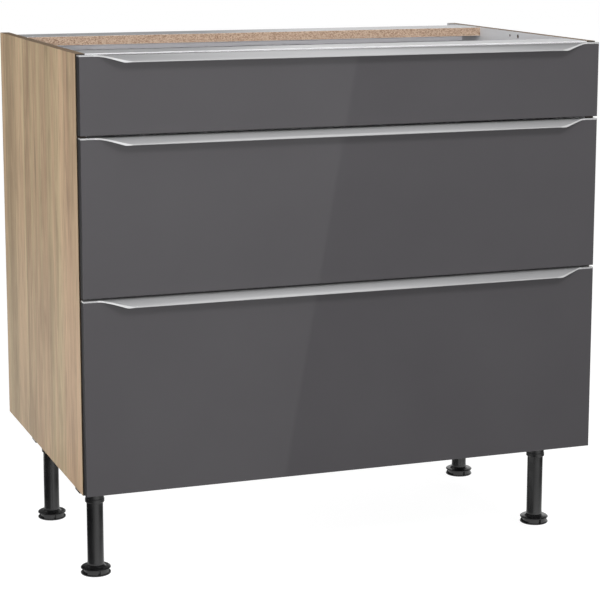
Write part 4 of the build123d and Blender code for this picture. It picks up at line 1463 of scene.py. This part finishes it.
class ScrewSizes(bpy.types.PropertyGroup):
    """Screws and where they sit."""

    head_radius: length("Head radius", 3.6 * MM, "Screw head")
    head_height: length("Head height", 1.9 * MM, "Screw head")
    cross: length("Cross", 4.2 * MM, "Length of the cross recess")
    cross_width: length("Cross width", 1.0 * MM, "Width of the cross recess")
    cross_depth: length("Cross depth", 1.3 * MM, "Depth of the cross recess")
    cross_narrowing: number("Cross narrowing", 0.8, "Size of the recess at its bottom, as a share")
    edge: length("Edge", 0.35 * MM, "Rounding of the head")
    first_hole: length("First hole", 37 * MM, "Carcass's front edge to the first hole of the row")
    hole_pitch: length("Hole pitch", 32 * MM, "Pitch of the row of holes")
    runner_sheet: length("Runner sheet", 1.5 * MM, "Sheet of the runners")
    runner_screw_height: length("Runner screw height", 26 * MM, "Runner's underside to its screws")
    bracket_sheet: length("Bracket sheet", 2.5 * MM, "Sheet of the front brackets")
    tab_middle: length("Tab middle", 8 * MM, "Drawer side to the middle of its tabs")
    tab_screw: length("Tab screw", 9 * MM, "Base to the lower bracket screw")
    lip_middle: length("Lip middle", 6 * MM, "Drawer side to the middle of its lip")


class StageSizes(bpy.types.PropertyGroup):
    """Camera, floor, lamps, and the cards that the reflections show."""

    picture: number("Picture", 600.0, "Side of the photograph, in pixels")
    focal_pixels: number("Focal length", 1938.7, "In pixels of the photograph")
    centre_pixel: FloatVectorProperty(
        name="Centre", description="Pixel on the camera's axis", default=(288.5, 243.2), size=2)
    camera_place: spot("Camera", (-1.155, -3.1802, 1.0858), "Place of the camera")
    camera_yaw: FloatProperty(
        name="Yaw", description="Turn to the right of straight ahead",
        default=math.radians(19.870), subtype="ANGLE")
    camera_pitch: FloatProperty(
        name="Pitch", description="Tilt down", default=math.radians(9.717), subtype="ANGLE")
    ambient: number("Ambient", 0.34, "Light from all round")
    floor_size: length("Floor", 14.0, "Half the floor's side")
    floor_drop: length("Floor drop", 26 * MM, "Floor below the feet at rest, for their travel")
    floor_bounce: number("Floor bounce", 0.15, "Light that the floor sends back up")
    floor_shade: number("Floor shade", 0.3, "Share of the floor that takes shadow")
    floor_lift: number("Floor lift", 0.9, "Brightness of the floor in a full shadow")
    overhead_power: number("Overhead", 54.0, "Power of the softbox above, in watts")
    overhead_place: spot("Overhead, place", (0.1, -3.0, 2.6), "Its place")
    overhead_target: spot("Overhead, target", (0, -0.1, 0.6), "The point it faces")
    overhead_size: spread("Overhead, size", (1.6, 0.8), "Its width and height")
    left_power: number("Left", 50.0, "Power of the softbox at the left, in watts")
    left_place: spot("Left, place", (-3.0, -0.4, 0.85), "Its place")
    left_target: spot("Left, target", (-0.45, 0, 0.55), "The point it faces")
    left_size: spread("Left, size", (1.8, 1.1), "Its width and height")
    ahead_power: number("Ahead", 60.0, "Power of the strip by the camera, in watts")
    ahead_place: spot("Ahead, place", (-0.6, -3.5, 1.14), "Its place")
    ahead_target: spot("Ahead, target", (0, 0.2, 0.84), "The point it faces")
    ahead_size: spread("Ahead, size", (3.0, 0.12), "Its width and height")
    card_edge: spread("Card edge", (0.0702, -0.7939), "Point of the floor card's slanted edge")
    card_slant: number("Card slant", 0.41668, "Metres to the right per metre ahead")
    card_near: length("Card, near", -0.7, "Y of the floor card's near edge")
    card_far: length("Card, far", -13.0, "Y of the floor card's far edge")
    card_lift: length("Card lift", 1 * MM, "Height of the card above the floor")
    card_soft: length("Card softness", 5 * MM, "Half the width of the step in its grey")
    card_fade: length("Card fade", -5.0, "Y from which the card is white")
    card_near_light: number("Card near", 0.75, "Brightness of its near edge")
    card_right: number("Card right", 0.68, "Share of it that is left past the step")
    back_card_y: length("Back card", 2.8, "Y of the card behind")
    back_card_half: length("Back card width", 4.0, "Half its width")
    back_card_height: length("Back card height", 3.2, "Its height")
    back_card_dark: length("Back card, dark", 0.7, "X up to which it is dark")
    back_card_light: length("Back card, light", 1.05, "X from which it is light")
    back_low: number("Back, dark", 0.15, "Its brightness at the left")
    back_high: number("Back, light", 1.0, "Its brightness at the right")
    dip_height: length("Dip height", 1.6, "Height on the back card from which it is darker")
    dip_soft: length("Dip softness", 0.25, "Half the height over which it gets darker")
    dip_middle: length("Dip middle", 1.0, "X of the lightest part up there")
    dip_half: length("Dip half", 0.4, "Half the width of that part")
    dip_peak: number("Dip peak", 0.5, "Brightness in its middle")
    dip_ends: number("Dip ends", 0.1, "Brightness beyond it")
    top_card_height: length("Top card", 1.9, "Height of the level card above")
    top_card_near: length("Top card, near", -1.5, "Y of its near edge")
    top_card_far: length("Top card, far", 1.4, "Y of its far edge")
    top_card_middle: length("Top card middle", 0.42, "X of its lightest part")
    top_card_half: length("Top card half", 0.46, "Half the width of that part")
    top_card_ends: number("Top card ends", 0.04, "Its brightness beyond that part")
    leg_card_reach: length("Leg cards", 3.0, "How far the cards round the legs reach to the sides")
    leg_card_far: length("Leg cards, far", 0.5, "Y of their far edge")
    leg_card_right: length("Leg cards, light", 0.13, "Leg's centre to the lightest part")
    leg_card_half: length("Leg cards, half", 0.32, "Half the width of that part")
    left_card_x: length("Left card", -3.2, "X of the card at the left")
    left_card_near: length("Left card, near", -5.0, "Y of its near edge")
    left_card_height: length("Left card height", 2.6, "Its height")
    left_card_low: number("Left card, low", 0.02, "Its brightness at the floor")
    left_card_high: number("Left card, high", 0.1, "Its brightness at the top")


# ---------------------------------------------------------------- operators
class CABINET_OT_finishes(bpy.types.Operator):
    """Make the finishes and put them on the boards, fronts, drawers and runners"""

    bl_idname = "cabinet.finishes"
    bl_label = "Finishes"

    def execute(self, context):
        colours = context.scene.cabinet_colours
        metal_finish("grip_metal", colours.aluminium, 0.2, (5, 1400, 1400), 0.04, 0.35, colours.milled)
        metal_finish("screw_steel", colours.zinc, 0.3, (300, 300, 300))
        plastic_finish("black_moulding", colours.black, 0.22)
        plastic_finish("grey_caps", colours.enamel, 0.4)
        dress_nodes(colours, context.scene.cabinet_wood)
        return {"FINISHED"}


class CABINET_OT_grips(bpy.types.Operator):
    """Make the grip profiles of the three fronts"""

    bl_idname = "cabinet.grips"
    bl_label = "Grips"

    def execute(self, context):
        tree = milled_ends_tree()
        for drawer in DRAWERS:
            make_grip(drawer, context.scene.cabinet_grips, bpy.data.materials["grip_metal"], tree)
        return {"FINISHED"}


class CABINET_OT_legs(bpy.types.Operator):
    """Make the sockets, tubes and screw feet"""

    bl_idname = "cabinet.legs"
    bl_label = "Legs"

    def execute(self, context):
        sizes = context.scene.cabinet_legs
        black = bpy.data.materials["black_moulding"]
        tree = thread_tree()
        for leg in LEGS:
            make_socket(leg, sizes, black)
            make_tube(leg, sizes, black)
            make_foot(leg, sizes, black, tree)
        return {"FINISHED"}


class CABINET_OT_runners(bpy.types.Operator):
    """Make the middle rails with their rollers"""

    bl_idname = "cabinet.runners"
    bl_label = "Runners"

    def execute(self, context):
        sizes = context.scene.cabinet_runners
        tree = set_out_tree()
        pattern = new_object("roller_pattern", roller_form(sizes))
        for drawer in DRAWERS:
            for side in SIDES:
                make_middle_rail(
                    drawer, side, sizes, bpy.data.materials["zinc_plate"],
                    bpy.data.materials["black_moulding"], tree, pattern,
                )
        bpy.data.objects.remove(pattern)
        return {"FINISHED"}


class CABINET_OT_drawers(bpy.types.Operator):
    """Make the gallery rails and the cover caps of the drawers"""

    bl_idname = "cabinet.drawers"
    bl_label = "Drawers"

    def execute(self, context):
        sizes = context.scene.cabinet_runners
        for drawer in DRAWERS:
            make_cover_caps(drawer, sizes, bpy.data.materials["grey_caps"])
        for drawer in DEEP_DRAWERS:
            make_gallery(drawer, sizes, bpy.data.materials["powder_coat"])
        return {"FINISHED"}


class CABINET_OT_screws(bpy.types.Operator):
    """Set out the screws of runners, sockets and drawers"""

    bl_idname = "cabinet.screws"
    bl_label = "Screws"

    def execute(self, context):
        sizes = context.scene.cabinet_screws
        legs = context.scene.cabinet_legs
        tree = bpy.data.node_groups["set_out_on_points"]
        pattern = new_object("screw_pattern", screw_form(sizes))
        steel = bpy.data.materials["screw_steel"]
        carcass = runner_screws(sizes)
        for leg in LEGS:
            carcass += socket_screws(leg, legs)
        settle(set_out("carcass_screws", carcass, tree, pattern, steel), "carcass", "zinc_plated_steel")
        for drawer in DRAWERS:
            screws = set_out(f"drawer_screws_{drawer}", drawer_screws(drawer, sizes), tree, pattern, steel)
            settle(screws, f"drawer_{drawer}", "zinc_plated_steel")
        bpy.data.objects.remove(pattern)
        return {"FINISHED"}


class CABINET_OT_stage(bpy.types.Operator):
    """Make the floor, the studio light and the camera"""

    bl_idname = "cabinet.stage"
    bl_label = "Stage"

    def execute(self, context):
        stage = context.scene.cabinet_stage
        context.scene.view_settings.view_transform = "Standard"
        make_world(stage)
        make_floor(stage)
        make_floor_card(stage)
        for side in SIDES:
            make_leg_card(side, stage)
        make_back_card(stage)
        make_top_card(stage)
        make_left_card(stage)
        for name, key in LAMPS.items():
            values = [getattr(stage, f"{key}_{value}") for value in ("place", "target", "size", "power")]
            add_lamp(name, *values)
        make_camera(stage)
        return {"FINISHED"}


class CABINET_PT_panel(bpy.types.Panel):
    """Lists what makes the cabinet"""

    bl_label = "Drawer cabinet"
    bl_idname = "CABINET_PT_panel"
    bl_space_type = "VIEW_3D"
    bl_region_type = "UI"
    bl_category = "Cabinet"

    def draw(self, context):
        for operator in OPERATORS:
            self.layout.operator(operator.bl_idname)
        for name in GROUPS:
            settings = getattr(context.scene, name)
            box = self.layout.box()
            for key in settings.bl_rna.properties.keys():
                if key not in ("rna_type", "name"):
                    box.prop(settings, key)


OPERATORS = (
    CABINET_OT_finishes, CABINET_OT_grips, CABINET_OT_legs, CABINET_OT_runners,
    CABINET_OT_drawers, CABINET_OT_screws, CABINET_OT_stage,
)
GROUPS = {
    "cabinet_colours": CabinetColours,
    "cabinet_wood": WoodPattern,
    "cabinet_grips": GripSizes,
    "cabinet_legs": LegSizes,
    "cabinet_runners": RunnerSizes,
    "cabinet_screws": ScrewSizes,
    "cabinet_stage": StageSizes,
}


def register():
    for group in GROUPS.values():
        bpy.utils.register_class(group)
    for name, group in GROUPS.items():
        setattr(bpy.types.Scene, name, PointerProperty(type=group))
    for cls in (*OPERATORS, CABINET_PT_panel):
        bpy.utils.register_class(cls)


def unregister():
    for cls in (CABINET_PT_panel, *reversed(OPERATORS)):
        bpy.utils.unregister_class(cls)
    for name, group in GROUPS.items():
        delattr(bpy.types.Scene, name)
        bpy.utils.unregister_class(group)


def main():
    register()
    bpy.ops.cabinet.finishes()
    bpy.ops.cabinet.grips()
    bpy.ops.cabinet.legs()
    bpy.ops.cabinet.runners()
    bpy.ops.cabinet.drawers()
    bpy.ops.cabinet.screws()
    bpy.ops.cabinet.stage()


if __name__ == "__main__":
    main()
